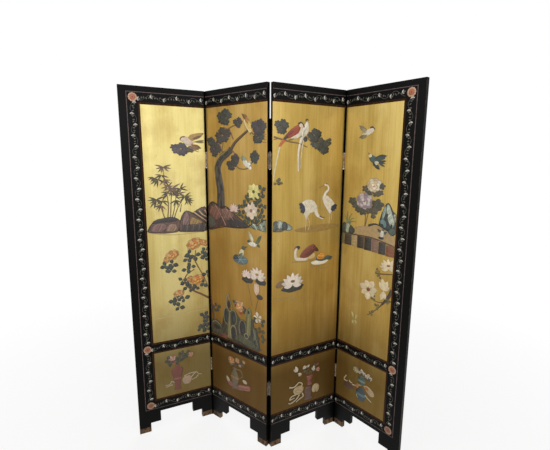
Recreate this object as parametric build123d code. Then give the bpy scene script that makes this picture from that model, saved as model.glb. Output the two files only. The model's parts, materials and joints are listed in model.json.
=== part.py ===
from build123d import *
import os
from math import cos, radians, sin

# A four-leaf folding screen. Each leaf is built flat in its own frame: X across the leaf from its
# left edge, Y into the leaf from its front face, Z up from the floor. The leaves are then hinged
# edge to edge in a zigzag.

# Leaf: overall sizes in millimetres, turns in degrees from the line of the wall
leaf_width = 406.0
leaf_height = 1830.0
leaf_thickness = 20.0
leaf_turns = (33.0, -29.5, 36.5, -40.5)
edge_gap = 0.8
arris = 0.8

# Frame: rails cross the whole front, stiles stand behind their laps
outer_border = 96.0
hinge_stile_width = 60.0
lap_depth = 10.0
top_rail_height = 83.0
mid_rail_bottom = 458.0
mid_rail_height = 62.0
bottom_rail_bottom = 112.0
bottom_rail_height = 76.0

# Panels: gilt boards in front, one lacquered board behind, cross battens between
gilt_recess = 2.0
gilt_thickness = 3.0
bevel_width = 10.0
back_thickness = 5.0
batten_height = 40.0
batten_centres = (650.0, 1110.0)

# Stepped feet with metal shoes
foot_width = 60.0
foot_step_width = 54.0
foot_step_bottom = 52.0
foot_corner_radius = 3.0
cap_height = 30.0
cap_wall = 0.8

# Butt hinges, two at each meeting of leaves
hinge_centres = (329.0, 1487.0)
hinge_length = 76.0
hinge_plate_width = 14.0
hinge_plate_thickness = 1.6
front_pin_standoff = 3.0
back_pin_standoff = 3.0
barrel_radius = 2.7
pin_radius = 1.5
pin_clearance = 0.05
pin_head_radius = 2.5
pin_head_height = 2.0
knuckle_count = 5
knuckle_gap = 0.3
tongue_bite = 1.5

# Countersunk hinge screws
screw_head_radius = 3.5
screw_shank_radius = 1.75
screw_length = 16.0
screw_pitch = 26.0
screw_clearance = 0.05
screw_slot_width = 0.9
screw_slot_depth = 0.7

# Carved ornament
rosette_inset = 64.0
rosette_radius = 21.0
rosette_thickness = 2.5
rosette_petals = 12
rosette_boss_radius = 8.0
rosette_boss_height = 4.0
top_rosette_drop = 52.0
mid_rosette_height = 489.0
bottom_rosette_height = 157.0
carving_thickness = 3.0
carving_margin = 1.5

leaf_numbers = range(1, len(leaf_turns) + 1)
gilt_back = gilt_recess + gilt_thickness
top_rail_bottom = leaf_height - top_rail_height
mid_rail_top = mid_rail_bottom + mid_rail_height
bottom_rail_top = bottom_rail_bottom + bottom_rail_height
back_face = leaf_thickness - back_thickness
upper_field = (mid_rail_top, top_rail_bottom)
lower_field = (bottom_rail_top, mid_rail_bottom)
rail_zones = (
    (bottom_rail_bottom, bottom_rail_top),
    (mid_rail_bottom, mid_rail_top),
    (top_rail_bottom, leaf_height),
)
tool_overrun = 5.0


def slab(x_span, y_span, z_span):
    sizes = [high - low for low, high in (x_span, y_span, z_span)]
    middles = [(high + low) / 2 for low, high in (x_span, y_span, z_span)]
    return Pos(*middles) * Box(*sizes)


def is_outer(leaf, side):
    return (leaf, side) in ((1, "left"), (4, "right"))


def from_edge(side, near, far):
    # X span of a piece between two distances from one vertical edge of the leaf
    if side == "left":
        return (near, far)
    return (leaf_width - far, leaf_width - near)


def stile_width(leaf, side):
    return outer_border if is_outer(leaf, side) else hinge_stile_width


def between_stiles(leaf):
    return (stile_width(leaf, "left"), leaf_width - stile_width(leaf, "right"))


def gilt_span(leaf):
    # The gilt field runs to the edge wherever a leaf is hinged to its neighbour
    left = outer_border if is_outer(leaf, "left") else 0.0
    right = outer_border if is_outer(leaf, "right") else 0.0
    return (left, leaf_width - right)


def envelope():
    # The whole leaf as one block with its upright and top edges eased
    block = slab((0, leaf_width), (0, leaf_thickness), (0, leaf_height))
    upright = block.edges().filter_by(Axis.Z)
    top = block.edges().group_by(Axis.Z)[-1]
    return chamfer(upright + top, arris)


def bevel_tool(leaf, field):
    # A rectangular frustum that slopes the frame down to one gilt field
    spread = bevel_width * (gilt_recess + 1.0) / gilt_recess
    low, high = gilt_span(leaf)
    sections = []
    for depth, grow in ((-1.0, spread), (gilt_recess, 0.0)):
        left = low - grow if is_outer(leaf, "left") else -tool_overrun
        right = high + grow if is_outer(leaf, "right") else leaf_width + tool_overrun
        bottom, top = field[0] - grow, field[1] + grow
        outline = Pos((left + right) / 2, (bottom + top) / 2) * Rectangle(right - left, top - bottom)
        sections.append(Plane.XZ.offset(-depth) * outline)
    return loft(sections, ruled=True)


# Hinges: one on each leaf edge that meets a neighbour, pins in front and behind by turns

def hinge_face(leaf, side):
    # Leaves 1 and 2, and 3 and 4, fold front to front, leaves 2 and 3 fold back to back
    if is_outer(leaf, side):
        return None
    joint = leaf if side == "right" else leaf - 1
    return "back" if joint == 2 else "front"


def from_hinge_face(face, near, far):
    # Y span between two depths measured from the face that carries the pin
    if face == "front":
        return (near, far)
    return (leaf_thickness - far, leaf_thickness - near)


def pin_standoff(face):
    return front_pin_standoff if face == "front" else back_pin_standoff


def pin_place(side, face):
    x = leaf_width + edge_gap / 2 if side == "right" else -edge_gap / 2
    y = -pin_standoff(face) if face == "front" else leaf_thickness + pin_standoff(face)
    return x, y


def knuckle_spans(centre, side):
    # The left leaf of a pair carries the odd knuckles, the right leaf the even ones
    pitch = hinge_length / knuckle_count
    first = 0 if side == "right" else 1
    start = centre - hinge_length / 2
    return [
        (start + pitch * k + knuckle_gap / 2, start + pitch * (k + 1) - knuckle_gap / 2)
        for k in range(first, knuckle_count, 2)
    ]


def screw_places(leaf, side):
    face = hinge_face(leaf, side)
    if face is None:
        return []
    x = leaf_width if side == "right" else 0.0
    depth = hinge_plate_width / 2
    y = depth if face == "front" else leaf_thickness - depth
    turn = 90 if side == "right" else -90
    steps = (-screw_pitch, 0.0, screw_pitch)
    return [Pos(x, y, centre + step) * Rot(0, turn, 0) for centre in hinge_centres for step in steps]


def screw_form(spare):
    # A countersunk screw along Z with its head flush at Z = 0, or its hole when it has spare room
    sink = screw_head_radius - screw_shank_radius
    head = Cone(screw_shank_radius + spare, screw_head_radius + spare, sink)
    shank = Cylinder(screw_shank_radius + spare, screw_length - sink + spare)
    return Pos(0, 0, -sink / 2) * head + Pos(0, 0, -sink - (screw_length - sink + spare) / 2) * shank


def hinge_screws(leaf):
    slot = Box(2 * screw_head_radius, screw_slot_width, 2 * screw_slot_depth)
    screw = screw_form(0.0) - slot
    return [place * screw for side in ("left", "right") for place in screw_places(leaf, side)]


def edge_cuts(leaf, side):
    # Mortises and screw holes that one hinged edge needs
    face = hinge_face(leaf, side)
    if face is None:
        return []
    cuts = []
    for centre in hinge_centres:
        cuts.append(slab(
            from_edge(side, -tool_overrun, hinge_plate_thickness),
            from_hinge_face(face, -tool_overrun, hinge_plate_width),
            (centre - hinge_length / 2, centre + hinge_length / 2),
        ))
    hole = screw_form(screw_clearance)
    cuts += [place * hole for place in screw_places(leaf, side)]
    return cuts


def hinge_plates(leaf, side):
    face = hinge_face(leaf, side)
    x, y = pin_place(side, face)
    plate_span = from_edge(side, 0.0, hinge_plate_thickness)
    tongue_start = barrel_radius - tongue_bite - pin_standoff(face)
    hole = screw_form(screw_clearance)
    plates = []
    for centre in hinge_centres:
        z_span = (centre - hinge_length / 2, centre + hinge_length / 2)
        plate = slab(plate_span, from_hinge_face(face, 0.0, hinge_plate_width), z_span)
        for low, high in knuckle_spans(centre, side):
            plate += slab(plate_span, from_hinge_face(face, tongue_start, 0.0), (low, high))
            plate += Pos(x, y, (low + high) / 2) * Cylinder(barrel_radius, high - low)
        plate -= Pos(x, y, centre) * Cylinder(pin_radius + pin_clearance, 2 * hinge_length)
        plates.append(plate)
    for place in screw_places(leaf, side):
        plates = [plate - place * hole for plate in plates]
    return plates


def hinge_pins(leaf):
    # Pins of the joint at the right edge of a leaf, each with a button head on the top knuckle
    x, y = pin_place("right", hinge_face(leaf, "right"))
    head = Cylinder(pin_head_radius, pin_head_height)
    head = fillet(head.edges().group_by(Axis.Z)[-1], pin_head_height / 2)
    pins = []
    for centre in hinge_centres:
        top = centre + hinge_length / 2 - knuckle_gap / 2
        shank = Pos(x, y, centre - knuckle_gap / 4) * Cylinder(pin_radius, hinge_length - knuckle_gap / 2)
        pins.append(shank + Pos(x, y, top + pin_head_height / 2) * head)
    return pins


# Frame members

def stile(leaf, side):
    width = stile_width(leaf, side)
    across = from_edge(side, 0.0, width)
    through = (0.0, leaf_thickness)
    post = slab(across, through, (bottom_rail_bottom, leaf_height))
    post += slab(from_edge(side, 0.0, foot_width), through, (cap_height, bottom_rail_bottom))
    tip_across = from_edge(side, cap_wall, foot_width - cap_wall)
    post += slab(tip_across, (cap_wall, leaf_thickness - cap_wall), (cap_wall, cap_height))
    for zone in rail_zones:
        post -= slab(across, (-tool_overrun, lap_depth), zone)
    for field in (lower_field, upper_field):
        if is_outer(leaf, side):
            post -= bevel_tool(leaf, field)
        else:
            post -= slab(across, (-tool_overrun, gilt_back), field)
    for cut in edge_cuts(leaf, side):
        post -= cut
    return post & envelope()


def rail(leaf, zone, back):
    member = slab((0.0, leaf_width), (0.0, lap_depth), zone)
    member += slab(between_stiles(leaf), (lap_depth, back), zone)
    for field in (lower_field, upper_field):
        member -= bevel_tool(leaf, field)
    return member & envelope()


def foot_brackets():
    brackets = []
    for side in ("left", "right"):
        reach = from_edge(side, foot_width, foot_width + foot_step_width)
        block = slab(reach, (0.0, leaf_thickness), (foot_step_bottom, bottom_rail_bottom))
        lower = block.edges().filter_by(Axis.Y).group_by(Axis.Z)[0].sort_by(Axis.X)
        corner = lower[-1] if side == "left" else lower[0]
        brackets.append(fillet(corner, foot_corner_radius))
    return brackets


def foot_caps():
    caps = []
    for side in ("left", "right"):
        cup = slab(from_edge(side, 0.0, foot_width), (0.0, leaf_thickness), (0.0, cap_height))
        hollow_across = from_edge(side, cap_wall, foot_width - cap_wall)
        hollow_through = (cap_wall, leaf_thickness - cap_wall)
        cup -= slab(hollow_across, hollow_through, (cap_wall, cap_height + tool_overrun))
        caps.append(cup & envelope())
    return caps


# Panels and battens

def gilt_panel(leaf, field):
    board = slab(gilt_span(leaf), (gilt_recess, gilt_back), field)
    for side in ("left", "right"):
        for cut in edge_cuts(leaf, side):
            board -= cut
    return board


def back_panel(leaf):
    return slab(between_stiles(leaf), (back_face, leaf_thickness), (bottom_rail_top, top_rail_bottom))


def core_battens(leaf):
    half = batten_height / 2
    return [
        slab(between_stiles(leaf), (gilt_back, back_face), (centre - half, centre + half))
        for centre in batten_centres
    ]


# Carved ornament: flat blanks in the outline of each motif, planted on the gilt fields

def rosettes(leaf):
    petal_radius = rosette_radius * sin(radians(180 / rosette_petals)) * 1.1
    ring = rosette_radius - petal_radius
    outline = Circle(ring) + [place * Circle(petal_radius) for place in PolarLocations(ring, rosette_petals)]
    disc = extrude(outline, rosette_thickness)
    boss = Pos(0, 0, rosette_boss_height / 2) * Cylinder(rosette_boss_radius, rosette_boss_height)
    boss = fillet(boss.edges().group_by(Axis.Z)[-1], rosette_boss_height / 3)
    across = rosette_inset if leaf == 1 else leaf_width - rosette_inset
    heights = (leaf_height - top_rosette_drop, mid_rosette_height, bottom_rosette_height)
    return [Pos(across, 0, height) * Rot(90, 0, 0) * (disc + boss) for height in heights]


def oval(across, up, x=0.0, y=0.0, turn=0.0):
    return Pos(x, y) * Rot(0, 0, turn) * Ellipse(across / 2, up / 2)


def bird(size):
    body = oval(0.52 * size, 0.26 * size, 0.0, 0.0, 12)
    head = oval(0.2 * size, 0.19 * size, 0.3 * size, 0.12 * size)
    wing = oval(0.42 * size, 0.2 * size, -0.1 * size, 0.12 * size, -28)
    tail = oval(0.44 * size, 0.12 * size, -0.36 * size, -0.08 * size, 16)
    return body + head + wing + tail


def crane(size):
    body = oval(0.4 * size, 0.22 * size, 0.0, 0.1 * size, 18)
    neck = oval(0.08 * size, 0.36 * size, 0.2 * size, 0.32 * size, -14)
    head = oval(0.18 * size, 0.07 * size, 0.27 * size, 0.47 * size, -10)
    legs = [oval(0.05 * size, 0.5 * size, lean * size, -0.2 * size, 4) for lean in (-0.05, 0.05)]
    return body + neck + head + legs


def rock(size):
    lumps = ((0.6, 0.5, -0.16, -0.1), (0.5, 0.66, 0.1, 0.06), (0.4, 0.36, 0.3, -0.16))
    return Sketch() + [oval(w * size, h * size, x * size, y * size, 20) for w, h, x, y in lumps]


def foliage(size):
    puffs = [place * oval(0.5 * size, 0.36 * size) for place in PolarLocations(0.26 * size, 5)]
    return Circle(0.26 * size) + puffs


def bloom(size):
    petals = [place * oval(0.5 * size, 0.42 * size) for place in PolarLocations(0.26 * size, 6)]
    return Circle(0.22 * size) + petals


def spray(size):
    leaves = [Rot(0, 0, turn) * oval(0.56 * size, 0.22 * size, 0.24 * size) for turn in (15, 80, 150)]
    return Sketch() + leaves


def reeds(size):
    stems = [oval(0.07 * size, size, 0.16 * size * step, 0.0, -7 * step) for step in (-1, 0, 1)]
    tufts = [oval(0.5 * size, 0.16 * size, 0.1 * size * step, 0.26 * size, 38 * step) for step in (-1, 1)]
    return Sketch() + stems + tufts


def vase(size):
    bowl = oval(0.52 * size, 0.56 * size, 0.0, 0.0)
    neck = Pos(0, 0.32 * size) * Rectangle(0.2 * size, 0.26 * size)
    lip = Pos(0, 0.45 * size) * Rectangle(0.34 * size, 0.08 * size)
    foot = Pos(0, -0.32 * size) * Rectangle(0.34 * size, 0.14 * size)
    return bowl + neck + lip + foot


def wall(size):
    return Rectangle(size, 0.17 * size)


def twig(start, end):
    run = Vector(*end) - Vector(*start)
    middle = (Vector(*start) + Vector(*end)) / 2
    turn = Vector(1, 0).get_signed_angle(run)
    return Pos(middle.X, middle.Y) * Rot(0, 0, turn) * SlotOverall(run.length + twig_thickness, twig_thickness)


# Each motif has its place across and up its field, and its size, in hundredths of the leaf's width.
# A field's picture is drawn to its own proportion of height to width, then stretched to the field.
field_proportions = {"upper": 3.022, "lower": 0.665}
twig_thickness = 1.5
carving_layout = {
    (1, "upper"): [
            (bird, 82.5, 261.1, 32.0), (foliage, 67.7, 250.0, 17.2), (reeds, 49.3, 192.1, 59.1),
            (foliage, 69.0, 211.8, 22.2), (rock, 46.8, 158.9, 32.0), (rock, 78.8, 167.5, 34.5),
            (bloom, 50.5, 114.5, 14.8), (spray, 46.8, 97.3, 17.2), (bloom, 82.5, 128.1, 14.8),
            (spray, 89.9, 110.8, 17.2), (bloom, 82.5, 79.3, 14.8), (spray, 69.0, 81.3, 17.2),
            (bloom, 59.1, 62.8, 14.8), (spray, 67.7, 53.0, 17.2),
    ],
    (1, "lower"): [
            (vase, 52.2, 23.9, 36.9), (bloom, 55.4, 53.4, 17.2),
    ],
    (2, "upper"): [
            (foliage, 32.0, 288.2, 22.2), (foliage, 55.4, 281.3, 19.7), (foliage, 14.8, 256.2, 19.7),
            (foliage, 86.2, 269.7, 17.2), (bird, 70.2, 279.6, 27.1), (foliage, 45.6, 238.9, 17.2),
            (bird, 66.5, 236.0, 19.7), (rock, 27.1, 171.2, 46.8), (bloom, 79.3, 203.2, 17.2),
            (bloom, 49.3, 181.0, 17.2), (bloom, 73.4, 178.6, 17.2), (bird, 80.0, 144.1, 24.6),
            (bird, 55.7, 120.2, 29.6), (bloom, 85.0, 102.2, 19.7), (spray, 85.0, 80.0, 19.7),
            (rock, 49.3, 29.6, 49.3),
    ],
    (2, "lower"): [
            (vase, 49.3, 31.3, 39.4), (bloom, 50.0, 58.4, 14.8),
    ],
    (3, "upper"): [
            (foliage, 11.8, 275.9, 19.7), (bird, 25.9, 267.2, 27.1), (bird, 43.8, 273.4, 27.1),
            (foliage, 64.5, 262.3, 32.0), (crane, 46.8, 177.3, 49.3), (crane, 78.8, 184.7, 54.2),
            (rock, 14.8, 162.6, 24.6), (bird, 48.0, 124.4, 29.6), (bird, 72.7, 114.5, 27.1),
            (bloom, 29.1, 89.9, 22.2), (spray, 14.8, 88.7, 17.2),
    ],
    (3, "lower"): [
            (vase, 38.4, 19.0, 32.0), (vase, 57.1, 30.0, 19.7), (bloom, 50.5, 51.0, 14.8),
            (bloom, 68.5, 18.2, 12.3),
    ],
    (4, "upper"): [
            (bird, 30.5, 272.9, 27.1), (bird, 48.8, 238.9, 29.6), (bloom, 44.3, 211.3, 19.7),
            (bloom, 31.5, 191.4, 17.2), (spray, 18.5, 189.7, 17.2), (spray, 50.5, 192.1, 17.2),
            (rock, 11.1, 162.6, 22.2), (rock, 68.5, 173.6, 32.0), (wall, 39.4, 138.4, 71.4),
            (bloom, 70.2, 118.2, 19.7), (bloom, 45.6, 83.7, 17.2), (bloom, 65.3, 88.7, 17.2),
    ],
    (4, "lower"): [
            (vase, 41.9, 27.6, 36.9), (bloom, 44.8, 52.2, 17.2), (bloom, 20.9, 28.8, 14.8),
    ],
}
twig_layout = {
    (1, "upper"): [((97.3, 53.0), (70.2, 73.9)), ((81.3, 112.1), (73.9, 86.2))],
    (2, "upper"): [((21.7, 183.5), (22.2, 241.4)), ((22.2, 241.4), (30.8, 285.7)), ((24.6, 251.2), (83.7, 270.9))],
    (3, "upper"): [((4.9, 266.0), (71.4, 268.5)), ((29.1, 81.3), (29.6, 66.5))],
    (4, "upper"): [((34.5, 161.3), (43.1, 209.4)), ((73.9, 115.8), (48.0, 54.2))],
}


def picture(leaf, name):
    outline = Sketch()
    for motif, across, height, size in carving_layout[leaf, name]:
        outline += Pos(across, height) * motif(size)
    for start, end in twig_layout.get((leaf, name), []):
        outline += twig(start, end)
    return outline


def stretched(outline, across, up):
    # Flat faces bounded by the outline's own curves, drawn wider and taller
    widen = Matrix([[across, 0, 0, 0], [0, up, 0, 0], [0, 0, 1, 0]])
    faces = []
    for face in outline.faces():
        wires = [wire.transform_geometry(widen) for wire in [face.outer_wire()] + face.inner_wires()]
        faces.append(Face(wires[0], wires[1:]))
    return Sketch() + faces


def carvings(leaf):
    low, high = gilt_span(leaf)
    blanks = []
    for name, (bottom, top) in (("lower", lower_field), ("upper", upper_field)):
        rise = (top - bottom) / (100 * field_proportions[name])
        drawing = Pos(0, bottom) * stretched(picture(leaf, name), leaf_width / 100, rise)
        middle = Pos((low + high) / 2, (bottom + top) / 2)
        room = middle * Rectangle(high - low - 2 * carving_margin, top - bottom - 2 * carving_margin)
        blank = extrude(drawing & room, carving_thickness)
        blanks += (Pos(0, gilt_recess, 0) * Rot(90, 0, 0) * blank).solids()
    return blanks


# Standing the leaves: each one is hinged to the last, then the whole is centred over the origin

def turned(point, turn):
    x, y = point
    c, s = cos(radians(turn)), sin(radians(turn))
    return Vector(x * c - y * s, x * s + y * c)


def leaf_corners(origin, turn):
    return [
        origin + turned((x, y), turn)
        for x in (0.0, leaf_width)
        for y in (0.0, leaf_thickness)
    ]


def leaf_places():
    origins = [Vector(0, 0)]
    for leaf, turn, next_turn in zip(leaf_numbers, leaf_turns, leaf_turns[1:]):
        face = hinge_face(leaf, "right")
        pin = origins[-1] + turned(pin_place("right", face), turn)
        origins.append(pin - turned(pin_place("left", face), next_turn))
    corners = []
    for origin, turn in zip(origins, leaf_turns):
        corners += leaf_corners(origin, turn)
    middle_x = (min(c.X for c in corners) + max(c.X for c in corners)) / 2
    middle_y = (min(c.Y for c in corners) + max(c.Y for c in corners)) / 2
    return {
        leaf: Pos(origin.X - middle_x, origin.Y - middle_y) * Rot(0, 0, turn)
        for leaf, origin, turn in zip(leaf_numbers, origins, leaf_turns)
    }


def build():
    places = leaf_places()
    nodes = {}
    for leaf in leaf_numbers:
        flat = {
            "left_stile": [stile(leaf, "left")],
            "right_stile": [stile(leaf, "right")],
            "top_rail": [rail(leaf, rail_zones[2], leaf_thickness)],
            "mid_rail": [rail(leaf, rail_zones[1], back_face)],
            "bottom_rail": [rail(leaf, rail_zones[0], leaf_thickness)],
            "foot_brackets": foot_brackets(),
            "foot_caps": foot_caps(),
            "upper_gilt_panel": [gilt_panel(leaf, upper_field)],
            "lower_gilt_panel": [gilt_panel(leaf, lower_field)],
            "back_panel": [back_panel(leaf)],
            "core_battens": core_battens(leaf),
            "hinge_screws": hinge_screws(leaf),
            "carvings": carvings(leaf),
        }
        flat["hinge_plates"] = []
        for side in ("left", "right"):
            if hinge_face(leaf, side):
                flat["hinge_plates"] += hinge_plates(leaf, side)
        if is_outer(leaf, "left") or is_outer(leaf, "right"):
            flat["carvings"] += rosettes(leaf)
        for name, pieces in flat.items():
            nodes[f"leaf_{leaf}_{name}"] = [places[leaf] * piece for piece in pieces]
        if hinge_face(leaf, "right"):
            pins = [places[leaf] * pin for pin in hinge_pins(leaf)]
            nodes[f"hinge_{leaf}_{leaf + 1}_pins"] = pins
    for leaf in leaf_numbers[:-1]:
        x, y = pin_place("right", hinge_face(leaf, "right"))
        axis = (places[leaf] * Pos(x, y)).position
        print(f"hinge axis {leaf}-{leaf + 1}: {axis.X:.4f} {axis.Y:.4f}")
    return nodes


os.makedirs("parts", exist_ok=True)
for name, pieces in build().items():
    solids = [solid for piece in pieces for solid in piece.solids()]
    export_step(Compound(solids), f"parts/{name}.step")
    print(name, len(solids))
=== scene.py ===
import bmesh
import bpy
import json
import math
import random
from mathutils import Matrix, Vector


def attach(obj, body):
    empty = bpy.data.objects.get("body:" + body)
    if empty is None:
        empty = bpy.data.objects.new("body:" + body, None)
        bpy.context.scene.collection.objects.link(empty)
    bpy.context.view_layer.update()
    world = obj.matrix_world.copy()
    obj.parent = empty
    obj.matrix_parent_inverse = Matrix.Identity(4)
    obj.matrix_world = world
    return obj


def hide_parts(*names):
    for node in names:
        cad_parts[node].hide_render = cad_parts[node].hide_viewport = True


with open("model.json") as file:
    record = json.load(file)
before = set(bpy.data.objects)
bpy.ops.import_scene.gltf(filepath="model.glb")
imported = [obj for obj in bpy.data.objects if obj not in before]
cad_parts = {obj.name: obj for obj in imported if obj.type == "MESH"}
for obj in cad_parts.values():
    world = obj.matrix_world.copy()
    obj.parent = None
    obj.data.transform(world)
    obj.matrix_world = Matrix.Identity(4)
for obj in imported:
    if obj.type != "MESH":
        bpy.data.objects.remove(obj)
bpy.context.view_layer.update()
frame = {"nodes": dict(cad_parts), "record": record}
print("frame loaded:", len(frame["nodes"]), "nodes")

mm = 0.001
screen = {
    "turns": {1: 33.0, 2: -29.5, 3: 36.5, 4: -40.5},   # degrees from the line of the wall
    "width": 406.0, "height": 1830.0, "thickness": 20.0,
    "edgeGap": 0.8, "frontStandoff": 3.0, "backStandoff": 3.0,   # hinge pins off the leaf's edge and face
    "recess": 2.0,                                     # gilt face behind the frame face
    "outerBorder": 96.0,
    "upperField": (520.0, 1747.0), "lowerField": (188.0, 458.0),
}


# Each leaf has its own flat frame in mm: X across, Y into the leaf, Z up
def leafMatrix(leaf):
    pins = {joint["name"]: joint["pos_m"] for joint in frame["record"]["behaviour"]["joints"]}
    turn = Matrix.Rotation(math.radians(screen["turns"][leaf]), 4, "Z")
    halfGap, standoff = screen["edgeGap"] / 2, screen["frontStandoff"]
    name, local = {
        1: ("fold_1_2", (screen["width"] + halfGap, -standoff, 0)),
        2: ("fold_1_2", (-halfGap, -standoff, 0)),
        3: ("fold_2_3", (-halfGap, screen["thickness"] + screen["backStandoff"], 0)),
        4: ("fold_3_4", (-halfGap, -standoff, 0)),
    }[leaf]
    pin = Vector((pins[name][0], pins[name][1], 0))
    return Matrix.Translation(pin - turn @ (Vector(local) * mm)) @ turn


def giltSpan(leaf):
    left = screen["outerBorder"] if leaf == 1 else 0.0
    right = screen["outerBorder"] if leaf == 4 else 0.0
    return left, screen["width"] - right


# Materials
def linear(hexText):
    parts = [int(hexText[i:i + 2], 16) / 255 for i in (1, 3, 5)]
    return [p / 12.92 if p <= 0.04045 else ((p + 0.055) / 1.055) ** 2.4 for p in parts] + [1.0]


def feed(tree, node, inputs):
    # a node given as a value stands for its first output in use
    for key, value in inputs.items():
        if isinstance(value, bpy.types.Node):
            value = next(socket for socket in value.outputs if socket.enabled)
        if isinstance(value, bpy.types.NodeSocket):
            tree.links.new(value, node.inputs[key])
        else:
            node.inputs[key].default_value = value


def addNode(tree, kind, settings=None, inputs=None):
    node = tree.nodes.new(kind)
    for key, value in (settings or {}).items():
        setattr(node, key, value)
    feed(tree, node, inputs or {})
    return node


def maths(tree, operation, *values):
    return addNode(tree, "ShaderNodeMath", {"operation": operation}, dict(enumerate(values)))


def blend(tree, share, under, over):
    return addNode(tree, "ShaderNodeMix", {"data_type": "RGBA"}, {0: share, 6: under, 7: over})


def bumps(tree, height, strength, distance):
    return addNode(tree, "ShaderNodeBump", None, {"Height": height, "Strength": strength, "Distance": distance})


def remap(tree, value, given, wanted):
    return addNode(tree, "ShaderNodeMapRange", None, {
        "Value": value, "From Min": given[0], "From Max": given[1], "To Min": wanted[0], "To Max": wanted[1]})


def ramp(tree, value, stops):
    node = addNode(tree, "ShaderNodeValToRGB", None, {"Fac": value})
    elements = node.color_ramp.elements
    while len(elements) < len(stops):
        elements.new(0.5)
    for element, (place, colour) in zip(elements, stops):
        element.position = place
        element.color = linear(colour) if isinstance(colour, str) else (colour, colour, colour, 1.0)
    return node


def startMaterial(name):
    material = bpy.data.materials.new(name)
    material.use_nodes = True
    tree = material.node_tree
    return material, tree, tree.nodes["Principled BSDF"]


def noiseAt(tree, coords, sizeMm, detail=3.0, rough=0.55):
    # sizeMm is the size of one blotch along X, Y and Z
    scale = [1.0 / (s * mm) for s in sizeMm]
    mapping = addNode(tree, "ShaderNodeMapping", None, {"Vector": coords, "Scale": scale})
    return addNode(tree, "ShaderNodeTexNoise", None, {
        "Vector": mapping, "Scale": 1.0, "Detail": detail, "Roughness": rough})


def leafNormal(tree, turnDegrees):
    # the surface normal in the leaf's own frame: Y across its thickness
    coords = addNode(tree, "ShaderNodeTexCoord")
    turned = addNode(tree, "ShaderNodeVectorRotate", {"rotation_type": "Z_AXIS"}, {
        "Vector": coords.outputs["Normal"], "Angle": -math.radians(turnDegrees)})
    split = addNode(tree, "ShaderNodeSeparateXYZ", None, {0: turned})
    return coords.outputs["Object"], split.outputs


# Black lacquer over wood: deep black, polished by hand, dulled by dust, worn to brown on the arrises.
# The shallow slope down to the gilt is dark red-brown lacquer.
def blackLacquer(turnDegrees, back=False):
    material, tree, shader = startMaterial("%sLacquer_%d" % ("back" if back else "black", round(turnDegrees)))
    coords, (nx, ny, nz) = leafNormal(tree, turnDegrees)
    haze = noiseAt(tree, coords, (160, 160, 320))
    streak = noiseAt(tree, coords, (5, 5, 120), 4)
    # the back boards have fewer coats, brushed and not polished, and show brown
    tones = ((0.3, "#1c1512"), (0.7, "#33271f")) if back else ((0.3, "#050505"), (0.75, "#0e0d0c"))
    body = ramp(tree, streak if back else haze, tones)
    facing = maths(tree, "ABSOLUTE", ny)
    slope = maths(tree, "COMPARE", facing, 0.98, 0.012)
    redBrown = ramp(tree, streak, ((0.3, "#1d0f08"), (0.7, "#4a2c17")))
    sloped = blend(tree, slope, body, redBrown)
    longest = maths(tree, "MAXIMUM", maths(tree, "ABSOLUTE", nx), facing)
    longest = maths(tree, "MAXIMUM", longest, maths(tree, "ABSOLUTE", nz))
    arris = maths(tree, "LESS_THAN", longest, 0.85)
    rubbed = maths(tree, "GREATER_THAN", noiseAt(tree, coords, (30, 30, 45), 5), 0.52)
    worn = maths(tree, "MULTIPLY", arris, rubbed)
    final = blend(tree, worn, sloped, linear("#4a3a2c"))
    gloss = ramp(tree, haze, ((0.25, 0.3), (0.8, 0.46)))
    bump = bumps(tree, streak, 0.06, 0.001)
    feed(tree, shader, {"Base Color": final, "Roughness": gloss, "Normal": bump,
                        "Specular IOR Level": 0.25 if back else 0.07})
    return material


# Gold leaf on board: warm metal laid in upright strokes, thin and tarnished in places.
# Its side edges are lacquered black.
def goldLeaf(turnDegrees, tones, warmth, paintedLowShade):
    material, tree, shader = startMaterial("goldLeaf_%d" % round(turnDegrees))
    coords, normal = leafNormal(tree, turnDegrees)
    brush = noiseAt(tree, coords, (7, 7, 420), 5, 0.6)      # brush width about 7 mm, long strokes
    broad = noiseAt(tree, coords, (90, 90, 520), 3)
    cloud = noiseAt(tree, coords, (130, 130, 160), 4)
    fleck = noiseAt(tree, coords, (3, 3, 9), 2)
    tone = maths(tree, "MULTIPLY_ADD", brush, 0.35, 0.0)
    tone = maths(tree, "MULTIPLY_ADD", broad, 0.65, tone)
    leafGold = ramp(tree, tone, tuple(zip((0.38, 0.5, 0.62), tones)))
    thin = ramp(tree, cloud, ((0.52, 0.0), (0.76, 0.36)))
    aged = blend(tree, thin, leafGold, linear("#8d6526"))
    # the gold reddens and darkens below the middle, and painted shade darkens it further towards the floor, where less
    # light falls
    split = addNode(tree, "ShaderNodeSeparateXYZ", None, {0: coords})
    warm = remap(tree, split.outputs["Z"], (0.65, 1.25), (warmth, 0.0))
    aged = blend(tree, warm, aged, linear("#94621f"))
    low = remap(tree, split.outputs["Z"], (0.4, 0.75), (paintedLowShade, 0.0))
    lowShaded = blend(tree, low, aged, linear("#3f2809"))
    speck = ramp(tree, fleck, ((0.66, 0.0), (0.74, 0.55)))
    specked = blend(tree, speck, lowShaded, linear("#6a4a1e"))
    side = maths(tree, "ABSOLUTE", normal["X"])
    side = maths(tree, "GREATER_THAN", side, 0.7)
    final = blend(tree, side, specked, linear("#121010"))
    metal = maths(tree, "MULTIPLY_ADD", side, -0.6, 0.6)
    gloss = ramp(tree, brush, ((0.3, 0.38), (0.7, 0.55)))
    bump = bumps(tree, brush, 0.12, 0.001)
    feed(tree, shader, {"Base Color": final, "Metallic": metal, "Roughness": gloss,
                        "Normal": bump, "Specular IOR Level": 0.12})
    return material
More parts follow.
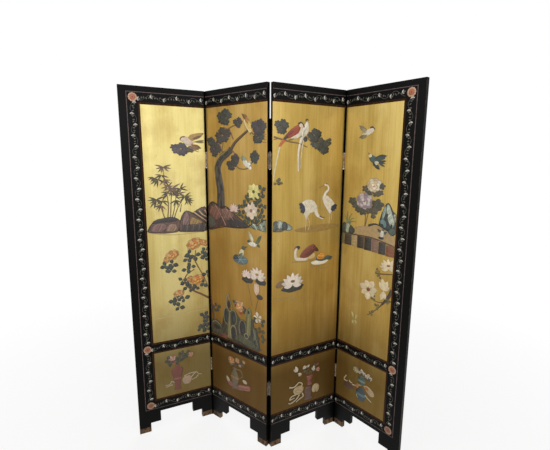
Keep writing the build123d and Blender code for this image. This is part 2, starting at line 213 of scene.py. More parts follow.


# Carved soapstone, tinted and waxed: soft mottled colour, with painted shade at the foot and down the sides of each
# form
def tintedSoapstone():
    material, tree, shader = startMaterial("tintedSoapstone")
    coords = addNode(tree, "ShaderNodeTexCoord").outputs["Object"]
    tint = addNode(tree, "ShaderNodeAttribute", {"attribute_name": "tint"})
    mottle = ramp(tree, noiseAt(tree, coords, (14, 14, 14), 4), ((0.3, 0.5), (0.7, 0.95)))
    shaded = addNode(tree, "ShaderNodeMix", {"data_type": "RGBA", "blend_type": "MULTIPLY"}, {
        0: 0.55, 6: tint.outputs["Color"], 7: mottle})
    # painted shade: darker where the point lies low in its form, at the foot of each dome and stroke and down the sides
    # of each vessel
    hollow = remap(tree, tint.outputs["Alpha"], (0.1, 0.75), (0.7, 0.0))
    footShaded = blend(tree, hollow, shaded, linear("#2a2015"))
    # painted shade: darker towards the floor, as the gold is, where less light falls
    height = addNode(tree, "ShaderNodeSeparateXYZ", None, {0: coords}).outputs["Z"]
    low = remap(tree, height, (0.2, 0.9), (0.45, 0.0))
    lowShaded = blend(tree, low, footShaded, linear("#3a2a16"))
    grain = noiseAt(tree, coords, (2.5, 2.5, 2.5), 3)
    bump = bumps(tree, grain, 0.18, 0.0006)
    feed(tree, shader, {"Base Color": lowShaded, "Normal": bump, "Roughness": 0.42, "IOR": 1.56})
    return material


# Painted line and scroll work on the lacquer: thin oil paint, rubbed through
def linePaint(name, light, dark, sizeMm=12, specular=0.5, rough=0.45):
    material, tree, shader = startMaterial(name)
    coords = addNode(tree, "ShaderNodeTexCoord").outputs["Object"]
    rubbed = noiseAt(tree, coords, (sizeMm, sizeMm, sizeMm), 4)
    paint = ramp(tree, rubbed, ((0.36, dark), (0.62, light)))
    bump = bumps(tree, rubbed, 0.1, 0.0005)
    feed(tree, shader, {"Base Color": paint, "Normal": bump, "Roughness": rough, "Specular IOR Level": specular})
    return material


# Worn metal: bright where rubbed, browned in the recesses
def wornMetal(name, bright, stained, sizeMm, rough):
    material, tree, shader = startMaterial(name)
    coords = addNode(tree, "ShaderNodeTexCoord").outputs["Object"]
    stain = noiseAt(tree, coords, (sizeMm, sizeMm, sizeMm * 1.6), 5, 0.62)
    metal = ramp(tree, stain, ((0.38, bright), (0.66, stained)))
    gloss = ramp(tree, stain, ((0.3, rough), (0.7, rough + 0.25)))
    bump = bumps(tree, stain, 0.12, 0.0006)
    feed(tree, shader, {"Base Color": metal, "Roughness": gloss, "Normal": bump, "Metallic": 0.9})
    return material


# Sawn softwood, only seen where a leaf is opened
def sawnPine():
    material, tree, shader = startMaterial("sawnPine")
    coords = addNode(tree, "ShaderNodeTexCoord").outputs["Object"]
    grain = noiseAt(tree, coords, (80, 80, 3), 4)
    wood = ramp(tree, grain, ((0.3, "#8a6238"), (0.7, "#b98f5c")))
    feed(tree, shader, {"Base Color": wood, "Roughness": 0.7})
    return material


lacquers = {leaf: blackLacquer(turn) for leaf, turn in screen["turns"].items()}
backs = {leaf: blackLacquer(turn, True) for leaf, turn in screen["turns"].items()}
# painted light and shade: each leaf's gold is given paler or darker tones for how the light falls on it at its turn
goldLitAndShadedTones = {1: ("#c2af6c", "#d0c07d", "#dacc8c"), 2: ("#a58342", "#b4924e", "#c3a361"),
             3: ("#a98b45", "#b99c52", "#c9ad66"), 4: ("#b79950", "#c7ab5f", "#d5bd74")}
# per leaf: how much the gold reddens below the middle, and the strength of the painted shade towards the floor
goldWarmthAndShade = {1: (0.26, 0.7), 2: (0.42, 0.78), 3: (0.4, 0.83), 4: (0.33, 0.68)}
golds = {leaf: goldLeaf(turn, goldLitAndShadedTones[leaf], *goldWarmthAndShade[leaf]) for leaf, turn in screen["turns"].items()}
soapstone = tintedSoapstone()
hingeMetal = wornMetal("wornNickelBrass", "#a79a8a", "#5a4d42", 9, 0.45)
screwMetal = wornMetal("screwBrass", "#c4b8ac", "#7c6a58", 4, 0.35)
shoeMetal = wornMetal("darkenedCopper", "#6e543c", "#241a13", 16, 0.42)
battenWood = sawnPine()
linePink = linePaint("pinkLinePaint", "#5c4440", "#2b2020")
flowerWhite = linePaint("shellWhite", "#d6d2c8", "#a8a398", 8)
vineGrey = linePaint("vineGrey", "#5e5c52", "#302f29", 10)
leafOlive = linePaint("leafOlive", "#62624f", "#2b2c24", 6)
# matte black with no sheen, for the strips of painted shade in the joints
jointShadeBlack = linePaint("jointShadeMatte", "#0d0b0a", "#050505", 40, 0.0, 0.95)

nodeFinish = {
    "stile": lacquers, "rail": lacquers, "brackets": lacquers, "back_panel": backs, "gilt_panel": golds,
    "caps": shoeMetal, "plates": hingeMetal, "pins": hingeMetal, "screws": screwMetal, "battens": battenWood,
    "carvings": soapstone,
}
for name, piece in frame["nodes"].items():
    finish = next(value for key, value in nodeFinish.items() if name.endswith(key))
    if isinstance(finish, dict):
        finish = finish[int(name.split("_")[1])]
    piece.data.materials.clear()
    piece.data.materials.append(finish)
print("materials done")


def addObject(name, data):
    added = bpy.data.objects.new(name, data)
    bpy.context.collection.objects.link(added)
    return added


# Pieces made in a leaf's frame are moved to their place in the mesh
def finishPiece(name, mesh, leaf, material):
    mesh.transform(leafMatrix(leaf))
    piece = addObject(name, mesh)
    if material:
        mesh.materials.clear()
        mesh.materials.append(material)
    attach(piece, "leaf_%d" % leaf)
    return piece


def closedMesh(name, verts, faces):
    # a mesh with every face turned outwards
    mesh = bpy.data.meshes.new(name)
    mesh.from_pydata(verts, [], faces)
    work = bmesh.new()
    work.from_mesh(mesh)
    bmesh.ops.recalc_face_normals(work, faces=work.faces)
    work.to_mesh(mesh)
    work.free()
    return mesh


def skin(faces, rows, topped=True):
    # faces between closed rows of corners, with the ends capped
    count = len(rows[0])
    for lower, upper in zip(rows, rows[1:]):
        faces += [(lower[i], lower[(i + 1) % count], upper[(i + 1) % count], upper[i]) for i in range(count)]
    faces.append(tuple(reversed(rows[0])))
    if topped:
        faces.append(tuple(rows[-1]))


# Carved relief: every form is a closed low dome or rounded stroke on the gilt
reliefLimit = {"ceiling": 8.5, "joint": 4.6, "border": 1.0}


def newRelief():
    return {"verts": [], "faces": [], "tints": []}


def asColour(tint):
    return linear(tint) if isinstance(tint, str) else tint


def addVert(relief, u, z, rise, tint, level):
    # high forms are pressed down a little, so that folded leaves clear each other
    low = rise / math.sqrt(1 + (rise / reliefLimit["ceiling"]) ** 2)
    relief["verts"].append((u * mm, (screen["recess"] - low) * mm, z * mm))
    # the alpha keeps the point's level in its form; the soapstone paints shade where it is low
    relief["tints"].append(tint[:3] + [level])
    return len(relief["verts"]) - 1


domeRings = ((1.0, -0.15), (0.985, 0.5), (0.9, 0.82), (0.62, 0.97), (0.3, 1.0))


def dome(relief, outline, rise, tint, base=0.0):
    colour = asColour(tint)
    cu = sum(q[0] for q in outline) / len(outline)
    cz = sum(q[1] for q in outline) / len(outline)
    rings = []
    for shrink, level in domeRings:
        height = base + rise * level
        rings.append([addVert(relief, cu + (u - cu) * shrink, cz + (z - cz) * shrink, height, colour, max(level, 0.0))
                      for u, z in outline])
    top = addVert(relief, cu, cz, base + rise, colour, 1.0)
    count = len(outline)
    skin(relief["faces"], rings, False)
    relief["faces"] += [(rings[-1][i], rings[-1][(i + 1) % count], top) for i in range(count)]


def rounded(a, b, c, d, steps):
    # the way from b to c on a curve through all four points
    for step in range(steps):
        t = step / steps
        yield tuple(0.5 * (2 * q + (r - p) * t + (2 * p - 5 * q + 4 * r - s) * t * t
                           + (3 * q - p - 3 * r + s) * t ** 3) for p, q, r, s in zip(a, b, c, d))


def smoothRun(points, steps):
    # a rounded run through a few chosen points
    if len(points) < 3:
        return [tuple(a + (b - a) * t / steps for a, b in zip(points[0], points[1])) for t in range(steps + 1)]
    ends = [points[0]] + list(points) + [points[-1]]
    run = [q for four in zip(ends, ends[1:], ends[2:], ends[3:]) for q in rounded(*four, steps)]
    return run + [tuple(points[-1])]


strokeArc = ((-1.0, -0.1), (-0.92, 0.45), (-0.55, 0.85), (0.0, 1.0), (0.55, 0.85), (0.92, 0.45), (1.0, -0.1))


def stroke(relief, points, startWidth, endWidth, rise, tint, base=0.0, steps=5):
    colour = asColour(tint)
    run = smoothRun(points, steps)
    rows = []
    for i, (u, z) in enumerate(run):
        before, after = run[max(i - 1, 0)], run[min(i + 1, len(run) - 1)]
        along = Vector((after[0] - before[0], after[1] - before[1]))
        along = along.normalized() if along.length else Vector((1, 0))
        half = (startWidth + (endWidth - startWidth) * i / (len(run) - 1)) / 2
        rows.append([addVert(relief, u - along.y * half * side, z + along.x * half * side, base + rise * level,
                             colour, max(level, 0.0)) for side, level in strokeArc])
    skin(relief["faces"], rows)


def spin(x, y, degrees):
    c, s = math.cos(math.radians(degrees)), math.sin(math.radians(degrees))
    return x * c - y * s, x * s + y * c


def placed(outline, u, z, degrees=0.0, size=1.0):
    turned = (spin(x, y, degrees) for x, y in outline)
    return [(u + size * x, z + size * y) for x, y in turned]


# A pen places a motif: its own units are shares of the motif's size
def pen(relief, u, z, size, turn=0.0):
    return {"relief": relief, "place": (u, z, turn, size)}


def form(p, outline, rise, tint, x=0.0, y=0.0, turn=0.0, base=0.0):
    dome(p["relief"], placed(placed(outline, x, y, turn), *p["place"]), rise, tint, base)


def line(p, points, startWidth, endWidth, rise, tint, base=0.0, steps=5):
    size = p["place"][3]
    stroke(p["relief"], placed(points, *p["place"]), startWidth * size, endWidth * size, rise, tint, base, steps)


def oval(across, up, count=18):
    return [(across / 2 * math.cos(2 * math.pi * i / count), up / 2 * math.sin(2 * math.pi * i / count))
            for i in range(count)]


def blade(length, width, belly=0.4, count=8):
    # a pointed leaf or feather from its foot at the origin along X
    upper = []
    for i in range(count + 1):
        t = i / count
        bulge = math.sin(math.pi * t ** (math.log(0.5) / math.log(belly)))
        upper.append((length * t, width / 2 * bulge))
    return upper + [(x, -y) for x, y in reversed(upper[1:-1])]


def petal(length, width, count=10):
    # narrow at its foot, broad and round at its end
    side = [(length * t, width / 2 * math.sin(math.pi * min(t, 1.0) ** 1.5) ** 0.7 + 0.03 * width)
            for t in (i / count for i in range(count + 1))]
    return side + [(x, -y) for x, y in reversed(side[:-1])]


def shade(tint, factor):
    return [min(1.0, part * factor) for part in asColour(tint)[:3]] + [1.0]


def closedRun(points, steps=3):
    count = len(points)
    return [q for i in range(count) for q in rounded(*(points[(i + k) % count] for k in (-1, 0, 1, 2)), steps)]


def patch(relief, points, rise, tint, base=0.0):
    # a rounded form through points given in mm across and up the leaf
    dome(relief, closedRun(points), rise, tint, base)


def inside(rim, u, z):
    hit = False
    for (a, b), (c, d) in zip(rim, rim[1:] + rim[:1]):
        if (b > z) != (d > z) and u < a + (z - b) * (c - a) / (d - b):
            hit = not hit
    return hit


crack = {"spacing": 9, "first": 6, "sway": 2.5, "bow": 3, "widths": (3.6, 1.6), "rise": 0.6,
         "shades": (0.42, 1.45, 0.6), "reach": range(-1200, 1900, 4)}


def facet(relief, points, rise, tint, base=0.0, lean=62):
    # a rock face: dark edge, and slanting cracks lighter and darker by turns
    rim = closedRun(points)
    dome(relief, rim, rise, tint, base)
    c, s = math.cos(math.radians(lean)), math.sin(math.radians(lean))
    off = [u * s - z * c for u, z in rim]
    for k in range(int((max(off) - min(off)) / crack["spacing"])):
        d = min(off) + crack["first"] + crack["spacing"] * k + crack["sway"] * math.sin(7 * k)
        run = [(d * s + t * c, -d * c + t * s) for t in crack["reach"]]
        run = [q for q in run if inside(rim, *q)][1:-1]
        if len(run) > 3:
            bend = run[len(run) // 2]
            stroke(relief, (run[0], (bend[0] + crack["bow"] * math.sin(5 * k), bend[1]), run[-1]), *crack["widths"],
                   crack["rise"], shade(tint, crack["shades"][k % 3]), base + 0.8 * rise, 3)
    rimWidth = crack["widths"][0]
    stroke(relief, rim[::2] + rim[:1], rimWidth, rimWidth, 0.7, shade(tint, 0.32), base + 0.6 * rise, 1)


def crags(relief, faces, base=0.0):
    # a broken rock: faces that lean each their own way
    for i, (points, tint) in enumerate(faces):
        facet(relief, points, 1.4, tint, base + 0.3 * (i % 3), 50 + 25 * (i % 4))


def disc(relief, u, z, across, up, rise, tint, base=0.0, turn=0.0):
    dome(relief, placed(oval(across, up), u, z, turn), rise, tint, base)


def feathers(relief, root, tips, width, tint, base=0.6, rise=1.6):
    # long blades from one root, each a little lighter than the last
    for i, (u, z) in enumerate(tips):
        along = Vector((u - root[0], z - root[1]))
        p = pen(relief, root[0], root[1], along.length, math.degrees(math.atan2(along.y, along.x)))
        form(p, blade(1.0, width / along.length, 0.6), rise, shade(tint, 0.75 + 0.5 * i / max(1, len(tips) - 1)), 0, 0,
             0, base + 0.25 * i)


def lobed(relief, u, z, across, up, turn, tone, base=0.0, lobes=6, depth=0.36):
    # one deeply lobed leaf with a paler vein to each lobe
    rim = []
    for i in range(lobes * 6):
        a = 2 * math.pi * i / (lobes * 6)
        reach = 0.5 * (1 - depth + depth * abs(math.cos((lobes * a - turn) / 2)) ** 0.7)
        rim.append((u + across * reach * math.cos(a), z + up * reach * math.sin(a)))
    dome(relief, rim, 1.8, tone, base)
    for i in range(lobes):
        a = (2 * math.pi * i + turn) / lobes
        stroke(relief, ((u, z), (u + 0.36 * across * math.cos(a), z + 0.36 * up * math.sin(a))), 2.2, 1.0, 0.5,
               shade(tone, 1.7), base + 1.5, 2)


def clump(relief, u, z, across, up, turn=0.0, seed=1, tone="#51474a"):
    # a head of four or five lobed leaves, dark, with gold between their tips
    chance = random.Random(seed)
    places = ((-0.27, 0.1), (0.05, 0.25), (0.28, 0.06), (0.1, -0.24), (-0.14, -0.16))
    for i, (x, y) in enumerate(places):
        x, y = spin((x + chance.uniform(-0.04, 0.04)) * across, (y + chance.uniform(-0.04, 0.04)) * up, turn)
        size = chance.uniform(0.44, 0.54)
        lobed(relief, u + x, z + y, across * size, up * size * 1.05, chance.uniform(0, 6.3),
              shade(tone, chance.uniform(0.6, 1.25)), 0.3 * i, 6)


def bambooFan(relief, u, z, size, leans, tone, seed=1):
    chance = random.Random(seed)
    for i, lean in enumerate(leans):
        p = pen(relief, u, z, size * chance.uniform(0.8, 1.15), lean)
        form(p, blade(1.0, 0.19, 0.4), 1.7, shade(tone, chance.uniform(0.6, 1.5)), 0, 0, 0, 0.25 * (i % 4))


roseRings = ((9, 0.52, 0.34, 0.0), (7, 0.38, 0.26, 0.9), (5, 0.22, 0.2, 1.7))   # petals, reach, width, lift


def rose(relief, u, z, size, turn=0.0, tone="#d28840", light="#e8b870", flat=0.68):
    # a full flower seen from above and aside
    for ring, (count, reach, wide, lift) in enumerate(roseRings):
        for i in range(count):
            outline = placed(petal(reach * size, wide * size), 0, 0, 360 / count * (i + 0.45 * ring))
            outline = placed([(x, y * flat) for x, y in outline], u, z, turn)
            mix = (tone, light)[(i + ring) % 2]
            dome(relief, outline, 1.7, shade(mix, 0.85 + 0.12 * ring), lift)
            # a dark line of painted shade along the end of each petal
            stroke(relief, outline[3:-2], 1.5, 1.5, 0.5, shade(mix, 0.45), lift + 1.1, 1)
    disc(relief, u, z, size * 0.13, size * 0.1, 0.9, shade(tone, 0.6), 2.7)


def starFlower(relief, u, z, size, tone, heart="#4f4a22", count=7, turn=0.0, pointed=0.45):
    for i in range(count):
        p = pen(relief, u, z, size * (0.54 if i % 2 else 0.48), turn + 360 / count * i)
        form(p, blade(1.0, 0.62, 1 - pointed), 2.0, shade(tone, 0.86 + 0.1 * (i % 3)), 0, 0, 0, 0.3 * (i % 2))
    disc(relief, u, z, size * 0.2, size * 0.2, 1.4, heart, 1.6)


def leaves(relief, places, size, tone, seed=1):
    # small round-ended leaves, paler along the rib
    chance = random.Random(seed)
    for u, z in places:
        for k in range(3):
            lean = chance.uniform(0, 360) if k == 0 else lean + chance.uniform(85, 140)
            p = pen(relief, u, z, size * chance.uniform(0.45, 0.62), lean)
            form(p, blade(1.0, 0.74, 0.52), 1.8, shade(tone, chance.uniform(0.7, 1.5)), 0.04, 0, 0, 0.3 * k)
            line(p, ((0.1, 0.0), (0.9, 0.0)), 0.1, 0.05, 0.4, shade(tone, 2.6), 1.65 + 0.3 * k, 2)


def lotus(relief, u, z, size, tone, turn=0.0, heart=None):
    p = pen(relief, u, z, size, turn)
    for i, lean in enumerate((14, 166, 36, 144, 60, 120, 90)):
        form(p, blade(0.6, 0.24, 0.5), 1.9, shade(tone, 0.78 + 0.05 * i), 0, -0.2, lean, 0.25 * i)
    for lean in (-4, 184, 25, 155):
        form(p, blade(0.46, 0.2, 0.5), 1.5, shade(tone, 1.0), 0, -0.22, lean, 1.9)
    if heart:
        form(p, oval(0.22, 0.13), 1.0, heart, 0, -0.02, 0, 3.2)


def lilyPad(relief, u, z, across, up, tone):
    rim = []
    for i in range(30):
        a = 2 * math.pi * i / 30
        grow = 1 + 0.06 * math.sin(6 * a)
        rim.append((u + across / 2 * grow * math.cos(a), z + up / 2 * grow * math.sin(a)))
    dome(relief, rim, 1.6, tone)
    for i in range(9):
        a = 2 * math.pi * i / 9
        stroke(relief, ((u, z), (u + 0.42 * across * math.cos(a), z + 0.42 * up * math.sin(a))), 2.2, 1.0, 0.5,
               shade(tone, 2.2), 1.4, 2)


def strokes(relief, runs, startWidth, endWidth, rise, tint, base=0.0):
    for run in runs:
        stroke(relief, run, startWidth, endWidth, rise, tint, base)


def stripes(relief, runs, tones, width, base=1.6, rise=1.0):
    for i, run in enumerate(runs):
        stroke(relief, run, width, width * 0.5, rise, tones[i % len(tones)], base, 4)


def hollows(relief, places, dark="#23211f", light=None):
    # eroded hollows, raised and not cut: a dark disc of painted shade round a paler heart
    for u, z, across, up in places:
        disc(relief, u, z, across, up, 0.8, dark, 2.1)
        if light:
            disc(relief, u + 0.1 * across, z - 0.06 * up, across * 0.45, up * 0.5, 0.6, light, 2.8)


def turnedForm(relief, u, profile, rise, tint, base=0.0, across=10, lean=0.0):
    # a vessel seen from the side, half round: profile rows are (half width, height) in mm
    colour = asColour(tint)
    widest = max(w for w, z in profile)
    foot = profile[0][1]
    rows = []
    for w, z in profile:
        row = []
        for i in range(across + 1):
            a = math.pi * i / across
            level = math.sin(a)
            # this level only colours the point: the soapstone paints shade down the vessel's sides
            row.append(addVert(relief, u + w * math.cos(a) + lean * (z - foot), z,
                               base + rise * (w / widest) ** 0.6 * level - 0.2, colour, 0.3 + 0.7 * level))
        rows.append(row)
    skin(relief["faces"], rows)


def wash(relief, points, tone):
    # a thin tint on the gilt, hardly raised
    patch(relief, points, 0.25, tone)


# What grows, flies and stands on each leaf: distance across and height above the floor, in mm
def leafOne(birds, foliage, rocks, blossoms, vases):
    # a bird over a head of leaves
    clump(foliage, 276, 1540, 100, 66, -12, 4, "#4e4548")
    clump(foliage, 326, 1541, 46, 36, 10, 6, "#6a5a48")
    stroke(foliage, ((300, 1540), (345, 1535), (372, 1528)), 5, 3, 1.4, "#6a5238")
    feathers(birds, (342, 1578), ((402, 1586), (400, 1576)), 9, "#7d6c42")
    feathers(birds, (330, 1568), ((384, 1546), (372, 1538), (358, 1536)), 17, "#8a6038")
    patch(birds, ((285, 1590), (300, 1603), (322, 1598), (345, 1580), (338, 1566), (312, 1560), (292, 1574)), 3.0,
          "#e6cfb8")
    patch(birds, ((312, 1590), (330, 1612), (360, 1621), (398, 1623), (380, 1605), (350, 1588), (328, 1580)), 2.2,
          "#b8904e", 0.8)
    feathers(birds, (335, 1592), ((398, 1623), (388, 1610), (374, 1602)), 15, "#6a5230", 1.8, 1.0)
    disc(birds, 289, 1590, 26, 22, 3.0, "#ead6c0", 0.5)
    stroke(birds, ((278, 1588), (285, 1600), (303, 1603)), 8, 5, 1.2, "#6f553c", 2.4)
    # bamboo
    stems = (((186, 1190), (172, 1240), (160, 1288)), ((200, 1190), (206, 1270), (192, 1370), (188, 1450)),
             ((214, 1190), (220, 1270), (225, 1340)), ((232, 1190), (256, 1250), (288, 1296)),
             ((222, 1190), (240, 1260), (246, 1310)), ((264, 1222), (272, 1262)))
    strokes(foliage, stems, 6, 3.5, 1.8, "#7d6a4c")
    for i, (u, z, size, leans) in enumerate((
            (188, 1452, 46, (165, 195, 225, -12, -40, 15, 250)), (178, 1412, 44, (175, 205, 235, -20, -50)),
            (160, 1392, 50, (170, 195, 215, 240, 265, -30)), (190, 1388, 48, (-5, -30, -55, -80, 230)),
            (148, 1290, 54, (160, 185, 210, 232, 255, 20, -25, -55)), (178, 1284, 44, (-20, -50, 215, 245, 60)),
            (228, 1345, 52, (30, -10, -35, -60, 150, 190, 220, 250)), (206, 1325, 44, (180, 210, 240, -40)),
            (290, 1300, 54, (35, 5, -20, -45, -70, 150, 190, 225)), (262, 1318, 46, (10, -25, 60, 160, 200, 235)),
            (246, 1284, 42, (-30, -65, 210, 245, 280)), (268, 1342, 44, (20, -15, 60, 175, 215, 240)),
            (206, 1352, 40, (10, 45, -30, 140, 190, 225)), (238, 1312, 46, (40, 80, 120, -15, -45, 165)),
            (304, 1282, 42, (15, -10, -35, -60, 240)), (168, 1262, 40, (200, 225, 250, -70, -45)),
            (140, 1402, 38, (185, 210, 240, 265)))):
        bambooFan(foliage, u, z, size * 0.86, leans, "#4f4628" if i % 3 else "#70584a", i)
    # rocks and the water's edge
    facet(rocks, ((98, 1130), (116, 1162), (140, 1183), (178, 1190), (218, 1193), (256, 1182), (268, 1150), (262, 1120),
                  (180, 1114), (120, 1122)), 1.8, "#6c5046")
    facet(rocks, ((110, 1136), (134, 1164), (176, 1168), (196, 1150), (170, 1124), (130, 1124)), 1.4, "#8a6a60", 1.2)
    facet(rocks, ((186, 1124), (204, 1160), (240, 1158), (246, 1122)), 1.4, "#9c7c66", 1.2)
    facet(rocks, ((122, 1168), (140, 1185), (178, 1192), (222, 1196), (252, 1184), (226, 1172), (170, 1173)), 1.6,
          "#372d2a", 1.4)
    facet(rocks, ((258, 1126), (266, 1185), (284, 1219), (303, 1225), (328, 1212), (362, 1233), (404, 1237),
                  (404, 1118), (330, 1114)), 1.8, "#68503e")
    facet(rocks, ((272, 1150), (280, 1205), (300, 1219), (313, 1188), (300, 1146)), 1.4, "#8f6f6a", 1.3)
    facet(rocks, ((310, 1150), (318, 1192), (348, 1180), (378, 1162), (360, 1142)), 1.4, "#a3844f", 1.2)
    stripes(rocks, [((318 + 15 * i, 1216 + 2 * i), (345 + 13 * i, 1198), (404, 1150 + 13 * i)) for i in range(6)],
            ("#2b2320", "#d9b68c"), 7)
    facet(rocks, ((258, 1118), (264, 1146), (330, 1150), (404, 1150), (404, 1114), (330, 1112)), 1.4, "#473a33", 1.4)
    stripes(rocks, [((266 + 16 * i, 1150), (262 + 16 * i, 1118)) for i in range(9)], ("#7d7266", "#2b2521"), 5, 2.2)
    stroke(rocks, ((98, 1124), (180, 1106), (290, 1102), (404, 1112)), 3, 2, 0.5, "#a88a54")
    # a flowering branch that comes from the joint
    for run, start, end in (
            (((404, 728), (360, 758), (323, 780), (285, 815), (274, 850), (288, 880), (327, 903)), 12, 5),
            (((329, 958), (346, 920), (370, 872)), 7, 5), (((372, 870), (398, 800), (404, 770)), 5, 4),
            (((318, 975), (329, 958), (338, 1010)), 5, 4), (((240, 770), (262, 790), (290, 812)), 5, 4)):
        stroke(foliage, run, start, end, 2.0, "#76482a")
    leaves(foliage, ((303, 990), (292, 968), (334, 978), (368, 982), (386, 962), (392, 1002), (191, 924), (214, 946),
                     (178, 938), (206, 908), (309, 922), (288, 908), (276, 836), (286, 812), (262, 850), (378, 818),
                     (330, 800), (308, 800), (214, 738), (228, 752), (268, 746), (239, 702), (395, 868), (374, 628),
                     (392, 610), (367, 560), (385, 552), (352, 558), (380, 582)), 52, "#343a33", 3)
    rose(blossoms, 332, 1046, 88, 22)
    rose(blossoms, 384, 1046, 48, -30)
    rose(blossoms, 212, 992, 78, 32)
    rose(blossoms, 186, 974, 46, 60, "#d29a56")
    rose(blossoms, 340, 842, 84, 15, "#d88434", "#ecb660")
    rose(blossoms, 300, 852, 40, 60)
    rose(blossoms, 240, 778, 58, 10, "#dc9648", "#ecc286")
    stroke(rocks, ((116, 652), (250, 662), (404, 664)), 4, 2, 0.4, "#e0c88a")
    # lower panel: a tall red jar of flowers with ribbons at its foot
    turnedForm(vases, 213, ((19, 214), (20, 220), (15, 236), (20, 272), (29, 312), (33, 334), (26, 346), (11, 352),
                            (11, 360), (15, 365)), 3.4, "#8e4a38")
    turnedForm(vases, 213, ((21, 276), (23, 280), (22, 286)), 2.9, "#a8634a", 0.6)
    strokes(foliage, (
        ((212, 364), (200, 390), (188, 404)), ((214, 364), (240, 400), (266, 418)),
        ((214, 364), (228, 392), (234, 416))), 4, 3, 1.4, "#6a5a34")
    leaves(foliage, ((167, 402), (178, 388), (222, 396), (234, 418), (252, 406), (266, 420), (208, 392), (246, 426)),
           44, "#38402f", 8)
    rose(blossoms, 190, 408, 44, 0, "#d8907a", "#f0c8ae", 0.9)
    rose(blossoms, 290, 411, 32, 0, "#d98a66", "#efc09a", 0.9)
    starFlower(blossoms, 198, 382, 26, "#c9644a", "#7a2e20", 6)
    turnedForm(vases, 266, ((12, 236), (20, 242), (28, 258), (27, 272), (18, 282), (20, 286)), 2.6, "#dcba98")
    strokes(vases, (
        ((250, 288), (280, 296), (318, 296), (330, 282), (350, 274)), ((286, 268), (304, 286), (322, 298)),
        ((292, 254), (316, 262), (330, 276)), ((196, 262), (180, 272), (172, 258), (146, 254)),
        ((186, 250), (166, 248), (150, 244))), 6, 4, 1.6, "#ecd9ba")


